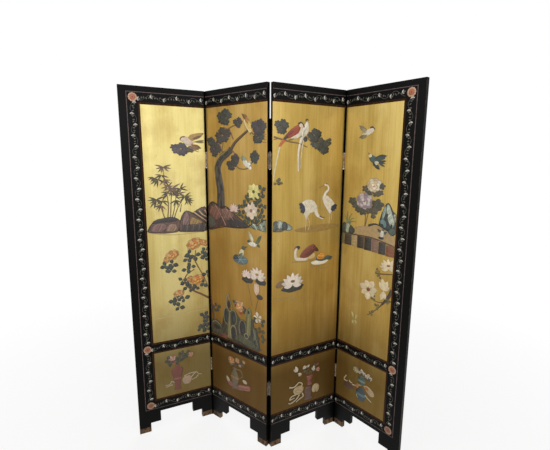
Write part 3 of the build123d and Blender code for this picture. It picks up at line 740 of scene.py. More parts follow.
def leafTwo(birds, foliage, rocks, blossoms, vases):
    # an old tree, with a bird at its top and one on a twig
    trunk = ((98, 1244), (98, 1333), (86, 1400), (80, 1452), (106, 1495), (147, 1519), (180, 1540))
    stroke(foliage, trunk, 58, 34, 2.4, "#423a33", 0.0, 6)
    stroke(foliage, [(u - 19, z + 4) for u, z in trunk[2:]], 9, 6, 1.2, "#96874c", 1.2)
    stripes(foliage, [[(u + d, z) for u, z in trunk[:5]] for d in (-17, -6, 4, 14)],
            ("#26211e", "#66594d", "#2a2522", "#594e42"), 5, 2.0, 0.8)
    # knots and rubbed bark
    for u, z, across, up, turn in (
            (104, 1268, 12, 40, 6), (88, 1306, 13, 34, -10), (108, 1350, 14, 44, 14), (84, 1392, 12, 36, -6),
            (92, 1432, 16, 40, 12), (82, 1470, 18, 34, -24), (110, 1496, 40, 15, 28), (146, 1520, 36, 13, 30)):
        disc(foliage, u, z, across, up, 0.7, "#211c19", 2.2, turn)
    stroke(foliage, ((176, 1536), (203, 1571), (251, 1604), (294, 1630)), 20, 9, 2.2, "#6a4c32")
    stroke(foliage, ((180, 1536), (208, 1568), (254, 1600), (290, 1622)), 4, 3, 0.8, "#33261c", 2.0)
    strokes(foliage, (
        ((193, 1588), (176, 1620), (156, 1637), (124, 1645)), ((156, 1637), (190, 1650), (222, 1658)),
        ((150, 1520), (112, 1532), (70, 1546)), ((112, 1532), (122, 1570), (120, 1602)),
        ((182, 1538), (206, 1512), (192, 1482)), ((192, 1482), (228, 1450), (284, 1450), (322, 1490)),
        ((292, 1628), (330, 1606), (356, 1612))), 7, 4, 1.8, "#7a5a36")
    for i, (u, z, across, up, turn) in enumerate((
            (134, 1694, 110, 78, 0), (226, 1664, 62, 52, 0), (118, 1608, 116, 84, 10), (36, 1580, 62, 52, 0),
            (62, 1545, 92, 84, -20), (358, 1636, 96, 82, 0), (352, 1588, 70, 56, 0), (180, 1464, 72, 56, 0),
            (206, 1496, 58, 54, 0), (330, 1502, 58, 66, 0))):
        clump(foliage, u, z, across, up, turn, i + 20, "#3b3432" if i % 3 else "#33352c")
    stripes(foliage, [((372, 1608 - 12 * i), (402, 1604 - 12 * i)) for i in range(4)], ("#8a5f3a",), 4, 0.2)
    feathers(birds, (284, 1664), ((250, 1707), (262, 1704), (276, 1700)), 11, "#8a5c32")
    patch(birds, ((300, 1617), (311, 1640), (297, 1668), (277, 1682), (268, 1664), (284, 1638)), 3.0, "#e0bd66")
    stroke(birds, ((268, 1676), (277, 1652), (300, 1620)), 9, 6, 1.0, "#f4e2a8", 2.2)
    feathers(birds, (296, 1650), ((272, 1684), (281, 1688)), 12, "#b07c40", 2.2, 1.0)
    disc(birds, 304, 1624, 22, 20, 3.2, "#ead08a")
    stroke(birds, ((304, 1616), (303, 1604)), 6, 2, 1.6, "#7a4a28")
    feathers(birds, (276, 1478), ((243, 1503), (250, 1511), (262, 1507)), 16, "#8d9a84")
    patch(birds, ((256, 1488), (276, 1490), (292, 1470), (308, 1447), (284, 1454), (262, 1468)), 2.8, "#efe9d6")
    feathers(birds, (282, 1474), ((312, 1484), (308, 1468)), 14, "#e8e0cc")
    disc(birds, 303, 1452, 18, 16, 3.0, "#f4efe0")
    # rocks at its foot
    facet(rocks, ((2, 1240), (20, 1262), (42, 1269), (97, 1251), (144, 1251), (190, 1225), (217, 1209), (262, 1183),
                  (297, 1166), (250, 1155), (180, 1149), (100, 1145), (2, 1120)), 1.8, "#54382f")
    facet(rocks, ((8, 1214), (40, 1256), (92, 1244), (108, 1202), (60, 1176)), 1.4, "#855c4c", 1.2)
    facet(rocks, ((102, 1240), (148, 1244), (196, 1216), (150, 1182), (118, 1192)), 1.4, "#8c6859", 1.2)
    facet(rocks, ((150, 1198), (238, 1186), (288, 1167), (200, 1155), (156, 1160)), 1.4, "#332e2d", 1.2)
    facet(rocks, ((2, 1198), (38, 1190), (62, 1154), (40, 1140), (2, 1132)), 1.4, "#5a5546", 1.2)
    stripes(rocks, [((30 + 26 * i, 1262 - 3 * i), (70 + 28 * i, 1214 - 5 * i), (104 + 30 * i, 1156)) for i in range(6)],
            ("#231c1a", "#cba08c", "#6a3a2c"), 7)
    stroke(rocks, ((2, 1240), (20, 1263), (42, 1270), (97, 1252), (144, 1252), (217, 1210), (297, 1167)), 6, 4, 1.0,
           "#2a211d", 1.4)
    # flowers beside the rocks
    strokes(foliage, (
        ((306, 1176), (312, 1240), (324, 1330)), ((286, 1186), (250, 1215), (196, 1240)),
        ((330, 1186), (352, 1240), (360, 1290))), 5, 3, 1.4, "#6f6a3c")
    leaves(foliage, ((274, 1300), (290, 1284), (352, 1282), (338, 1300), (222, 1246), (278, 1200), (330, 1206),
                     (364, 1246), (262, 1262), (348, 1214), (246, 1224), (380, 1270), (366, 1318), (372, 1352),
                     (296, 1310), (300, 1196), (214, 1222), (376, 1222)), 46, "#3a3d2c", 5)
    starFlower(blossoms, 324, 1341, 84, "#f2e58e", "#5a5226", 8)
    starFlower(blossoms, 308, 1248, 90, "#f4ddc0", "#a8785c", 7, 20, 0.4)
    starFlower(blossoms, 308, 1248, 50, "#f8e9d4", "#c08a6a", 6, 50, 0.4)
    lotus(blossoms, 192, 1252, 62, "#f0cdbb")
    facet(rocks, ((292, 1166), (312, 1181), (328, 1189), (350, 1180), (372, 1200), (404, 1213), (404, 1156),
                  (372, 1158), (340, 1162)), 1.8, "#8d9880")
    stripes(rocks, [((296 + 22 * i, 1178 + (i % 2) * 8), (312 + 20 * i, 1172 + 3 * i),
                     (326 + 18 * i, 1158)) for i in range(5)], ("#2b2c28", "#dfe4d2"), 6)
    stroke(rocks, ((292, 1168), (328, 1190), (350, 1181), (372, 1201), (404, 1214)), 5, 4, 1.0, "#24241f", 1.4)
    # a flying bird, and a duck on a round leaf
    feathers(birds, (318, 1084), ((290, 1148), (300, 1138), (312, 1124)), 17, "#d8d4b4")
    feathers(birds, (334, 1084), ((372, 1134), (364, 1118), (352, 1106)), 17, "#566848")
    patch(birds, ((286, 1086), (300, 1074), (330, 1072), (346, 1086), (318, 1094)), 2.8, "#f4eedb")
    disc(birds, 290, 1094, 18, 15, 2.8, "#424a36", 0.4)
    feathers(birds, (340, 1084), ((362, 1074), (360, 1082)), 8, "#46543c")
    disc(foliage, 232, 990, 104, 50, 1.6, "#60777a")
    disc(foliage, 206, 996, 44, 34, 1.0, "#343d42", 1.2)
    stripes(foliage, [((232, 990), (232 + 46 * math.cos(a), 990 + 20 * math.sin(a))) for a in (0.4, 1.2, 2.0, 3.6, 4.4,
            5.4)], ("#a9b7ac",), 3)
    patch(birds, ((222, 1008), (230, 1036), (244, 1048), (258, 1036), (252, 1012), (236, 1002)), 3.0, "#e3d5ac")
    feathers(birds, (250, 1030), ((222, 1006), (230, 1002), (240, 1000)), 13, "#6c7a66", 2.0)
    disc(birds, 254, 1054, 26, 20, 3.0, "#4c5c4a")
    stroke(birds, ((262, 1058), (282, 1066)), 6, 2, 1.6, "#3a3226")
    # lotus
    lilyPad(foliage, 280, 892, 76, 32, "#302b21")
    lilyPad(foliage, 368, 900, 70, 34, "#302b21")
    lotus(blossoms, 275, 924, 62, "#f4dccb")
    lotus(blossoms, 345, 936, 96, "#f6e2d0", 0, "#b08a4a")
    for turn in (80, 100, 90):
        p = pen(blossoms, 341, 824, 66, turn)
        form(p, blade(1.0, 0.36, 0.45), 2.0, shade("#f2d2b4", 0.75 + turn / 400), 0, 0, 0, 0.4)
    disc(foliage, 360, 819, 42, 26, 1.8, "#3a3426")
    strokes(foliage, (((280, 884), (300, 800), (310, 760)), ((352, 812), (340, 770), (330, 740))), 4, 3, 1.0, "#7a6a3a")
    # the pierced rock: dark body, two standing pillars, pale rims round deep holes drawn as raised discs of painted
    # shade
    facet(rocks, ((2, 532), (6, 596), (40, 612), (80, 600), (106, 566), (108, 530), (50, 526)), 1.6, "#544d34")
    facet(rocks, ((100, 530), (102, 620), (112, 690), (150, 700), (200, 694), (214, 650), (262, 660), (304, 690),
                  (318, 674), (326, 638), (342, 648), (346, 610), (358, 598), (350, 566), (356, 526)), 1.6, "#4b4428")
    facet(rocks, ((128, 536), (136, 610), (146, 690), (156, 690), (158, 610), (166, 536)), 1.4, "#8f8350", 1.0, 84)
    facet(rocks, ((270, 596), (272, 680), (278, 728), (290, 744), (302, 724), (302, 680), (300, 596)), 1.6, "#8b8752",
          1.0, 84)
    facet(rocks, ((186, 536), (206, 570), (236, 580), (290, 570), (346, 560), (352, 530)), 1.2, "#5a5c3c", 1.2)
    for u, top, wide, tone in ((330, 648, 26, "#6d7450"), (346, 606, 24, "#46543f"), (226, 672, 20, "#5f5a48")):
        facet(rocks, ((u - wide / 2, 540), (u - wide / 2, top - 50), (u - 4, top), (u + wide / 3, top - 36),
                      (u + wide / 2, 540)), 1.4, tone, 1.0, 84)
    hollows(rocks, ((123, 654, 26, 66), (180, 660, 32, 70)), "#1c2326", "#33454c")
    hollows(rocks, ((146, 728, 21, 46), (178, 572, 34, 66), (244, 622, 40, 76), (288, 720, 14, 20), (52, 572, 52, 24)),
            "#1d1a16")
    hollows(rocks, ((246, 612, 22, 44), (312, 610, 18, 44)), "#2c2534", "#3c3448")
    hollows(rocks, ((270, 584, 28, 22), (336, 566, 30, 34)), "#22221a", "#4e5038")
    rims = (((135, 702), (126, 735), (133, 768), (142, 784), (153, 756), (165, 728), (166, 702), (152, 688),
             (135, 702)), ((140, 706), (114, 694), (107, 652), (116, 618), (138, 608)),
            ((160, 702), (190, 698), (201, 664), (194, 626), (164, 612)), ((158, 536), (156, 580), (170, 612),
            (194, 606), (200, 566)), ((224, 586), (220, 630), (238, 664), (262, 652), (268, 606)),
            ((270, 690), (276, 730), (290, 746), (304, 722), (304, 680)), ((256, 584), (270, 600), (286, 586),
            (272, 570), (256, 584)), ((318, 640), (330, 602), (350, 556)), ((14, 590), (44, 604), (84, 588)))
    for i, run in enumerate(rims):
        stroke(rocks, run, (7, 6, 5)[i % 3], 4, 1.2, ("#a89e78", "#8d8868", "#9a9660")[i % 3], 2.2)
    patch(rocks, ((84, 536), (110, 548), (140, 536), (110, 524)), 1.2, "#8a4a3c", 1.6)
    # a stem and flowers round the rock
    stroke(foliage, ((2, 738), (12, 690), (26, 630), (30, 586)), 16, 10, 2.0, "#663a22")
    rose(blossoms, 224, 738, 70, 10, "#e8a05a", "#f6cb92", 0.9)
    starFlower(blossoms, 348, 706, 60, "#f6e9cc", "#c9b070", 5, 30, 0.35)
    leaves(foliage, ((196, 748), (250, 722), (322, 690), (376, 690), (366, 640), (56, 690), (30, 668), (380, 600)), 46,
           "#3c3c2a", 11)
    disc(blossoms, 232, 700, 22, 18, 1.6, "#a8402a")
    # lower panel: a handled vase of orange flowers, and a red tray
    patch(vases, ((158, 236), (160, 262), (186, 272), (214, 280), (214, 250), (186, 244)), 1.8, "#7a4c38")
    patch(vases, ((210, 248), (210, 278), (250, 290), (290, 300), (292, 274), (250, 260)), 2.2, "#b86e54")
    stripes(vases, [((214, 270), (250, 282), (286, 292)), ((214, 256), (250, 268), (286, 280))], ("#e0a58c", "#84402c"),
            4, 1.9)
    turnedForm(vases, 181, ((20, 250), (24, 256), (16, 268), (28, 296), (31, 318), (24, 338), (13, 350), (13, 362),
                            (18, 370)), 3.2, "#7d6d48")
    turnedForm(vases, 181, ((29, 306), (32, 312), (31, 318)), 3.2, "#b0823c", 0.5)
    stroke(vases, ((196, 366), (228, 366), (238, 338), (212, 314)), 6, 5, 1.8, "#8a7a4c")
    patch(vases, ((116, 296), (122, 272), (140, 262), (146, 272), (134, 292)), 2.2, "#e2cba4")
    patch(vases, ((238, 318), (250, 302), (272, 306), (262, 322)), 2.2, "#e6d4b2")
    disc(vases, 150, 262, 44, 30, 2.4, "#a4564a")
    rose(blossoms, 158, 404, 52, 0, "#e08a44", "#f2b878", 0.9)
    rose(blossoms, 203, 418, 36, 0, "#e69a50", "#f4c488", 0.9)
    rose(blossoms, 250, 426, 24, 0, "#e8a85a", "#f4c488", 0.9)
    rose(blossoms, 222, 396, 22, 0, "#e0a070", "#f2c8a0", 0.9)
    strokes(foliage, (
        ((181, 368), (172, 386), (160, 400)), ((182, 368), (196, 396), (203, 412)),
        ((184, 368), (220, 394), (250, 424))), 3, 2, 1.2, "#6a5c34")
    leaves(foliage, ((176, 396), (188, 384), (214, 408), (238, 410), (146, 388)), 34, "#4a4630", 13)


def leafThree(birds, foliage, rocks, blossoms, vases):
    # two long-tailed birds on a branch
    for run, start in (
            (((6, 1594), (78, 1577), (143, 1567), (188, 1551)), 9), (((78, 1577), (120, 1592), (176, 1600),
            (226, 1590)), 6), (((176, 1600), (200, 1584), (212, 1570)), 4), (((4, 1580), (30, 1586), (60, 1584)), 4)):
        stroke(foliage, run, start, 4, 1.8, "#86683e")
    for i, (u, z, across, up) in enumerate((
            (48, 1640, 82, 78), (226, 1606, 80, 72), (246, 1572, 86, 72), (284, 1552, 74, 74), (308, 1578, 46, 36))):
        clump(foliage, u, z, across, up, 10 * i, i + 40, "#36372e" if i % 2 else "#3c3c31")
    stroke(birds, ((60, 1588), (40, 1556), (26, 1500), (10, 1430), (6, 1392)), 12, 5, 1.6, "#e9ddb4")
    patch(birds, ((64, 1590), (50, 1580), (33, 1556), (38, 1549), (54, 1564), (70, 1582)), 1.8, "#cf662e", 0.6)
    patch(birds, ((90, 1590), (120, 1602), (142, 1628), (152, 1650), (162, 1638), (154, 1606), (128, 1589)), 2.4,
          "#f2e2c4")
    patch(birds, ((57, 1587), (76, 1611), (106, 1637), (140, 1654), (150, 1640), (138, 1615), (106, 1598), (78, 1588)),
          2.6, "#a84a2e", 0.5)
    feathers(birds, (118, 1624), ((56, 1586), (64, 1598), (78, 1612)), 14, "#7d3220", 2.0, 1.0)
    feathers(birds, (84, 1600), ((52, 1584), (60, 1582)), 9, "#35201a", 2.6, 0.8)
    disc(birds, 151, 1650, 26, 22, 3.0, "#f0dcc0", 0.4)
    stroke(birds, ((136, 1656), (150, 1663), (164, 1650), (168, 1642)), 9, 4, 1.4, "#43281f", 2.2)
    stroke(birds, ((164, 1606), (148, 1572), (138, 1516), (140, 1436)), 19, 6, 1.8, "#f3e8d0")
    stroke(birds, ((170, 1602), (156, 1530), (152, 1450)), 9, 4, 1.4, "#e0d2ac", 0.6)
    patch(birds, ((154, 1600), (158, 1630), (171, 1656), (182, 1669), (193, 1656), (191, 1624), (176, 1602)), 3.0,
          "#f6ecd8")
    feathers(birds, (184, 1650), ((160, 1600), (168, 1598), (178, 1604)), 13, "#d8ccb0", 2.2, 1.0)
    stroke(birds, ((176, 1672), (182, 1680), (190, 1674)), 7, 4, 1.6, "#4a4238", 1.6)
    disc(foliage, 175, 1588, 24, 24, 2.0, "#38352e", 1.0)
    leaves(foliage, ((24, 1385), (40, 1390)), 34, "#55512f", 2)
    # two cranes on a bank
    wash(rocks, ((120, 1152), (200, 1168), (320, 1172), (398, 1158), (320, 1140), (200, 1136)), "#a8853f")
    strokes(birds, (
        ((190, 1208), (187, 1142)), ((200, 1212), (211, 1180), (203, 1148)), ((332, 1228), (332, 1166)),
        ((344, 1226), (346, 1190))), 6, 4, 1.4, "#d9b98a")
    patch(birds, ((170, 1250), (218, 1246), (202, 1220), (190, 1200), (181, 1220)), 2.4, "#ead9b8")
    patch(birds, ((154, 1270), (171, 1294), (205, 1302), (238, 1289), (256, 1256), (240, 1238), (205, 1234),
                  (172, 1242)), 3.0, "#f3e6cb")
    feathers(birds, (178, 1272), ((146, 1282), (150, 1260), (158, 1238), (170, 1232)), 18, "#2c3244", 1.6)
    stroke(birds, ((242, 1264), (252, 1226), (270, 1211), (292, 1200)), 27, 8, 2.6, "#f5e9d0")
    stroke(birds, ((268, 1216), (284, 1206)), 6, 5, 0.8, "#3a3230", 2.2)
    stroke(birds, ((288, 1204), (304, 1207)), 5, 2, 1.6, "#4a3426", 0.6)
    disc(birds, 288, 1206, 8, 7, 0.8, "#a8402a", 2.6)
    stripes(birds, [((180 + 12 * i, 1284 - 3 * i), (196 + 12 * i, 1262), (204 + 10 * i, 1244)) for i in range(4)],
            ("#c9b48c",), 2.4, 2.6, 0.5)
    patch(birds, ((284, 1304), (294, 1320), (318, 1314), (346, 1291), (367, 1262), (372, 1244), (350, 1238),
                  (334, 1220), (318, 1240), (296, 1270)), 3.0, "#f3e6cc")
    stroke(birds, ((294, 1306), (302, 1328), (319, 1345), (317, 1362), (304, 1371)), 16, 8, 2.4, "#f6ecd6")
    disc(birds, 302, 1370, 17, 12, 2.4, "#f3e6cc", 0.4)
    stroke(birds, ((298, 1370), (262, 1357)), 5, 2, 1.4, "#8a7748")
    disc(birds, 306, 1375, 10, 6, 0.9, "#a8402a", 2.2)
    feathers(birds, (340, 1262), ((378, 1262), (374, 1246), (362, 1236), (350, 1234)), 18, "#2a2f40", 1.8)
    stripes(birds, [((300 + 12 * i, 1308 - 8 * i), (316 + 10 * i, 1282 - 6 * i),
                     (328 + 6 * i, 1250)) for i in range(4)], ("#c9b48c",), 2.4, 2.6, 0.5)
    # the rocks that begin on leaf 2
    crags(rocks, ((((4, 1158), (4, 1196), (22, 1206), (34, 1190), (30, 1164)), "#59625c"),
                  (((28, 1168), (30, 1204), (46, 1206), (60, 1188), (56, 1164)), "#b9c2b4"),
                  (((54, 1164), (58, 1198), (74, 1196), (84, 1178), (78, 1160)), "#4c534e"),
                  (((76, 1160), (80, 1190), (96, 1180), (114, 1164), (96, 1156)), "#a4aea2"),
                  (((14, 1156), (30, 1174), (52, 1168), (60, 1154)), "#6d675a")))
    # a pair of ducks on ripples
    strokes(rocks, (
        ((112, 994), (180, 988), (240, 990)), ((224, 956), (280, 952), (350, 958)),
        ((240, 940), (300, 936), (340, 940))), 4, 3, 0.6, "#a5823f")
    stroke(birds, ((134, 1058), (131, 1030), (138, 1008), (171, 1002), (204, 1004)), 14, 22, 2.4, "#f3e0c6")
    patch(birds, ((158, 1014), (172, 1041), (205, 1063), (240, 1072), (254, 1052), (238, 1028), (215, 1011),
                  (185, 1006)), 2.6, "#87402a", 0.6)
    feathers(birds, (178, 1020), ((250, 1066), (252, 1050), (242, 1036)), 17, "#5f2c20", 2.2, 0.9)
    patch(birds, ((200, 1002), (224, 1030), (247, 1022), (242, 1000)), 2.0, "#d8ba7c", 0.8)
    patch(birds, ((240, 1064), (264, 1048), (268, 1034), (246, 1036)), 1.8, "#472b22", 0.8)
    disc(birds, 144, 1064, 28, 20, 2.8, "#3a3128")
    disc(birds, 136, 1058, 12, 12, 1.0, "#f3e0c6", 2.2)
    stroke(birds, ((132, 1064), (120, 1058)), 7, 3, 1.6, "#b0662e")
    patch(birds, ((228, 982), (236, 966), (280, 960), (320, 967), (334, 982), (300, 986)), 2.6, "#f5ead0")
    patch(birds, ((262, 1006), (256, 986), (285, 975), (322, 981), (354, 991), (330, 1004), (300, 996)), 2.2, "#4b5b52",
          0.7)
    feathers(birds, (312, 990), ((360, 994), (358, 986), (350, 980)), 11, "#3d4a46", 1.2)
    patch(birds, ((262, 992), (264, 1012), (290, 1024), (308, 1008), (302, 990)), 2.4, "#e3952f", 1.0)
    stripes(birds, [((266, 1012), (285, 1006), (304, 1006)), ((266, 1002), (285, 998), (302, 998))],
            ("#f4c878", "#b05a20"), 4, 3.0, 0.6)
    # lotus and ripples
    lilyPad(foliage, 118, 862, 128, 46, "#2e2b21")
    lotus(blossoms, 117, 898, 112, "#f6e6d4", 0, "#7a5a2a")
    disc(foliage, 46, 888, 52, 32, 1.4, "#856744", 0, 20)
    for z, start, end in ((815, 10, 120), (803, 30, 190), (790, 90, 230), (838, 40, 170)):
        stroke(rocks, ((start, z), ((start * 2 + end) / 3, z + 4), ((start + end * 2) / 3, z - 2), (end, z + 1)), 4, 3,
               0.5, "#ab8d4c")
    # lower panel: ribbon-tied fruit, a red bottle with blossom, and a round fan
    patch(vases, ((134, 276), (150, 300), (178, 302), (198, 284), (188, 258), (156, 252)), 2.6, "#dcb87c")
    strokes(vases, (
        ((108, 310), (138, 304), (168, 322), (188, 306), (172, 288)), ((150, 296), (136, 282), (146, 262), (176, 254)),
        ((150, 256), (122, 252), (112, 236), (140, 240)), ((172, 250), (150, 226), (118, 214), (104, 220)),
        ((188, 254), (196, 234), (168, 222), (150, 212)), ((160, 288), (180, 284), (190, 270)),
        ((152, 274), (172, 270), (184, 260))), 9, 6, 2.0, "#f2dfb6", 0.8)
    turnedForm(vases, 236, ((16, 288), (14, 296), (12, 306), (14, 320), (20, 336), (22, 345)), 2.8, "#a3523f")
    turnedForm(vases, 236, ((14, 306), (16, 312), (15, 318)), 2.6, "#7a2c22", 0.5)
    turnedForm(vases, 229, ((26, 204), (28, 212), (18, 220), (22, 240), (24, 262), (16, 282)), 2.6, "#694332")
    patch(vases, ((252, 248), (255, 272), (274, 284), (295, 273), (299, 250), (288, 230), (276, 236), (262, 234)), 2.2,
          "#e8cb96")
    stripes(vases, [((276, 238), (262, 262)), ((276, 238), (276, 272)), ((277, 238), (290, 262))], ("#a88450",), 3, 1.8,
            0.6)
    for u, z, size, turn in (
            (151, 404, 40, 110), (172, 371, 28, 160), (203, 399, 30, 20), (226, 402, 20, 60), (262, 380, 34, 95)):
        p = pen(blossoms, u, z, size, turn)
        form(p, blade(1.0, 0.5, 0.5), 2.0, "#f6ecd8", -0.5, 0)
        form(p, blade(0.8, 0.34, 0.5), 1.6, "#e8d6b8", -0.45, 0.1, 24, 0.8)
    starFlower(blossoms, 288, 366, 28, "#e2a08a", "#a03a28", 6)
    starFlower(blossoms, 286, 398, 18, "#b0503c", "#6a2018", 5)
    strokes(foliage, (
        ((234, 344), (214, 380), (176, 372)), ((236, 344), (228, 380), (204, 396)),
        ((238, 344), (252, 366), (284, 372))), 3, 2, 1.2, "#7a5a38")
    leaves(foliage, ((214, 376), (246, 364), (270, 392)), 28, "#4f4a30", 17)


def leafFour(birds, foliage, rocks, blossoms, vases):
    # two small birds
    feathers(birds, (136, 1626), ((80, 1656), (84, 1644), (96, 1636)), 15, "#9a8e70")
    feathers(birds, (132, 1618), ((82, 1598), (94, 1592), (108, 1594)), 13, "#8d8166")
    patch(birds, ((104, 1614), (120, 1631), (145, 1640), (162, 1640), (166, 1629), (150, 1615), (128, 1606)), 2.8,
          "#eee2c8")
    feathers(birds, (130, 1622), ((98, 1620), (98, 1612)), 9, "#c9bc98", 1.6)
    stroke(birds, ((146, 1642), (158, 1646), (170, 1634)), 9, 4, 1.4, "#4a4336", 1.8)
    patch(birds, ((146, 1500), (158, 1518), (176, 1512), (204, 1492), (192, 1474), (164, 1481)), 2.6, "#4b6059")
    feathers(birds, (170, 1502), ((242, 1513), (234, 1502), (220, 1496)), 20, "#36453f")
    feathers(birds, (166, 1490), ((207, 1449), (198, 1458), (188, 1464)), 20, "#2d3835")
    feathers(birds, (192, 1484), ((241, 1490), (236, 1478), (234, 1463)), 9, "#33403a")
    patch(birds, ((180, 1488), (202, 1484), (192, 1470), (180, 1476)), 1.4, "#dfd6ba", 1.6)
    disc(birds, 153, 1513, 20, 16, 3.0, "#e8dec4")
    stroke(birds, ((148, 1518), (140, 1528)), 6, 2, 1.6, "#6a5a36")
    # a bush of full flowers
    strokes(foliage, (
        ((140, 1252), (143, 1210), (140, 1172)), ((158, 1250), (150, 1205), (143, 1172)),
        ((150, 1300), (165, 1330), (176, 1350))), 6, 4, 1.6, "#86693f")
    for i, (u, z, size) in enumerate((
            (136, 1356, 50), (224, 1372, 44), (196, 1338, 52), (160, 1338, 40), (218, 1342, 40), (62, 1290, 58),
            (80, 1268, 46), (206, 1284, 80), (190, 1254, 56), (124, 1244, 58), (158, 1250, 46), (98, 1250, 44),
            (186, 1226, 34))):
        lobed(foliage, u, z, size * 0.95, size * 0.74, i, "#49483a" if i % 2 else "#575040", 0.25 * (i % 3), 5, 0.44)
    rose(blossoms, 184, 1370, 88, 0, "#e8cfa6", "#f8ead0", 0.9)
    rose(blossoms, 133, 1294, 98, 0, "#a8949a", "#d9ccc8", 0.9)
    rose(blossoms, 135, 1290, 52, 30, "#f0dfc4", "#f9edd8", 0.9)
    # grass, and rocks on a mound
    for tip in ((14, 1222), (34, 1236), (62, 1226), (78, 1204), (88, 1186), (24, 1206)):
        stroke(foliage, ((42, 1160), ((42 + tip[0]) / 2 - 4, (1160 + tip[1]) / 2 + 12), tip), 7, 2.5, 1.6, "#76845c")
    crags(rocks, ((((4, 1128), (6, 1166), (20, 1176), (30, 1156), (28, 1126)), "#4b5044"),
                  (((26, 1128), (28, 1170), (44, 1176), (56, 1154), (50, 1126)), "#aeb6a0"),
                  (((48, 1126), (54, 1164), (68, 1158), (84, 1140), (68, 1124)), "#454a40")))
    wash(rocks, ((60, 1130), (77, 1150), (110, 1168), (200, 1182), (262, 1170), (312, 1142), (312, 1098), (192, 1114)),
         "#bd9f6e")
    stroke(rocks, ((162, 1178), (200, 1190), (238, 1182)), 12, 6, 1.6, "#3b3828")
    facet(rocks, ((222, 1190), (228, 1228), (240, 1262), (252, 1290), (264, 1297), (276, 1286), (288, 1262),
                  (304, 1250), (312, 1232), (312, 1176), (296, 1158), (270, 1166), (244, 1176)), 1.4, "#3a4442")
    crags(rocks, ((((258, 1286), (266, 1292), (276, 1280), (286, 1254), (296, 1230), (304, 1206), (294, 1184),
                    (280, 1194), (266, 1224), (258, 1252)), "#c6d0bc"), (((246, 1276), (254, 1284), (255, 1256),
            (247, 1228), (235, 1212), (236, 1238)), "#a9bbb0"), (((226, 1212), (240, 1222), (257, 1210), (263, 1186),
            (250, 1180), (243, 1196), (230, 1196)), "#6f8a8c"), (((294, 1246), (304, 1252), (312, 1236), (312, 1214),
            (300, 1220)), "#b8c2ac"), (((270, 1172), (286, 1182), (304, 1184), (312, 1164), (300, 1150), (280, 1154)),
            "#54625c")), 1.2)
    hollows(rocks, ((249, 1198, 13, 20), (288, 1192, 12, 20), (263, 1240, 8, 20)), "#20292a")
    rose(blossoms, 304, 1236, 26, 0, "#a8806c", "#d8c4b0", 0.9)
    # a small bird on the mound, and the fence
    disc(rocks, 236, 1128, 30, 14, 2.0, "#2c2822", 0.5)
    patch(birds, ((230, 1134), (232, 1158), (242, 1166), (250, 1156), (246, 1134)), 2.4, "#e2dccb", 0.5)
    feathers(birds, (240, 1154), ((212, 1170), (216, 1160)), 9, "#5a5648")
    feathers(birds, (242, 1154), ((268, 1160), (262, 1150)), 9, "#4f5a58")
    disc(birds, 244, 1168, 14, 12, 2.6, "#6a6a62")
    blocks = ((4, 20, "#6b6340"), (20, 66, "#43382c"), (66, 100, "#b39a6c"), (100, 142, "#3a2e27"),
              (142, 186, "#2f2a27"), (186, 224, "#8c6c5c"), (224, 264, "#3a3634"), (264, 312, "#86553a"))
    for start, end, tone in blocks:
        top = 1118 - max(0, (start + end) / 2 - 190) * 0.2
        bottom = 1064 - (start + end) / 2 * 0.066
        corner = ((start + 1, bottom), (end - 1, bottom), (end - 1, top), (start + 1, top))
        outline = [q for a, b in zip(corner, corner[1:] + corner[:1]) for q in (a,
                ((a[0] + b[0]) / 2, (a[1] + b[1]) / 2))]
        dome(rocks, outline, 2.0, tone)
        for share in (0.22, 0.5, 0.74):
            z = bottom + (top - bottom) * share
            stroke(rocks, ((start + 4 + 9 * share, z), (end - 12 + 9 * share, z + 3)), 4, 2, 0.7, shade(tone, 1.5), 1.7,
                   2)
    stroke(rocks, ((4, 1122), (100, 1121), (192, 1120), (312, 1097)), 6, 5, 2.2, "#55402f")
    # a branch of white blossom
    for run, start, end, tone in (
            (((314, 886), (292, 842), (262, 800)), 24, 10, "#473722"), (((262, 800), (230, 762), (184, 720)), 6, 3,
            "#6a5230"), (((218, 948), (270, 956), (315, 966)), 5, 6, "#6b4c30"),
            (((316, 966), (318, 930), (312, 884)), 7, 8, "#5a4128"), (((270, 812), (236, 806), (200, 812)), 5, 3,
            "#6a5230"), (((290, 850), (276, 852), (266, 858)), 6, 4, "#5a4128")):
        stroke(foliage, run, start, end, 2.0, tone)
    starFlower(blossoms, 182, 856, 104, "#f6e2b8", "#8a5230", 7, 8, 0.35)
    lotus(blossoms, 286, 1003, 88, "#f6e3bc", 8, "#a8683c")
    for lean, reach in ((100, 62), (70, 58), (125, 50), (255, 54), (40, 40), (285, 44)):
        p = pen(blossoms, 268, 872, reach, lean)
        form(p, blade(1.0, 0.46, 0.5), 2.0, shade("#f6e2b8", 0.8 + reach / 320), 0, 0, 0, 0.4)
    leaves(foliage, ((226, 962), (240, 940), (214, 822), (236, 782), (292, 828), (206, 738)), 32, "#6a6238", 19)
    # a butterfly
    for run in (((96, 702), (84, 706), (92, 684), (104, 672)), ((112, 694), (122, 700), (118, 680), (106, 672)),
                ((102, 668), (90, 654), (100, 644), (108, 660)), ((108, 668), (122, 660), (116, 646), (106, 660))):
        patch(birds, run, 1.4, "#dccb80")
    stroke(birds, ((104, 690), (106, 650)), 5, 3, 1.8, "#7a6a38", 0.6)
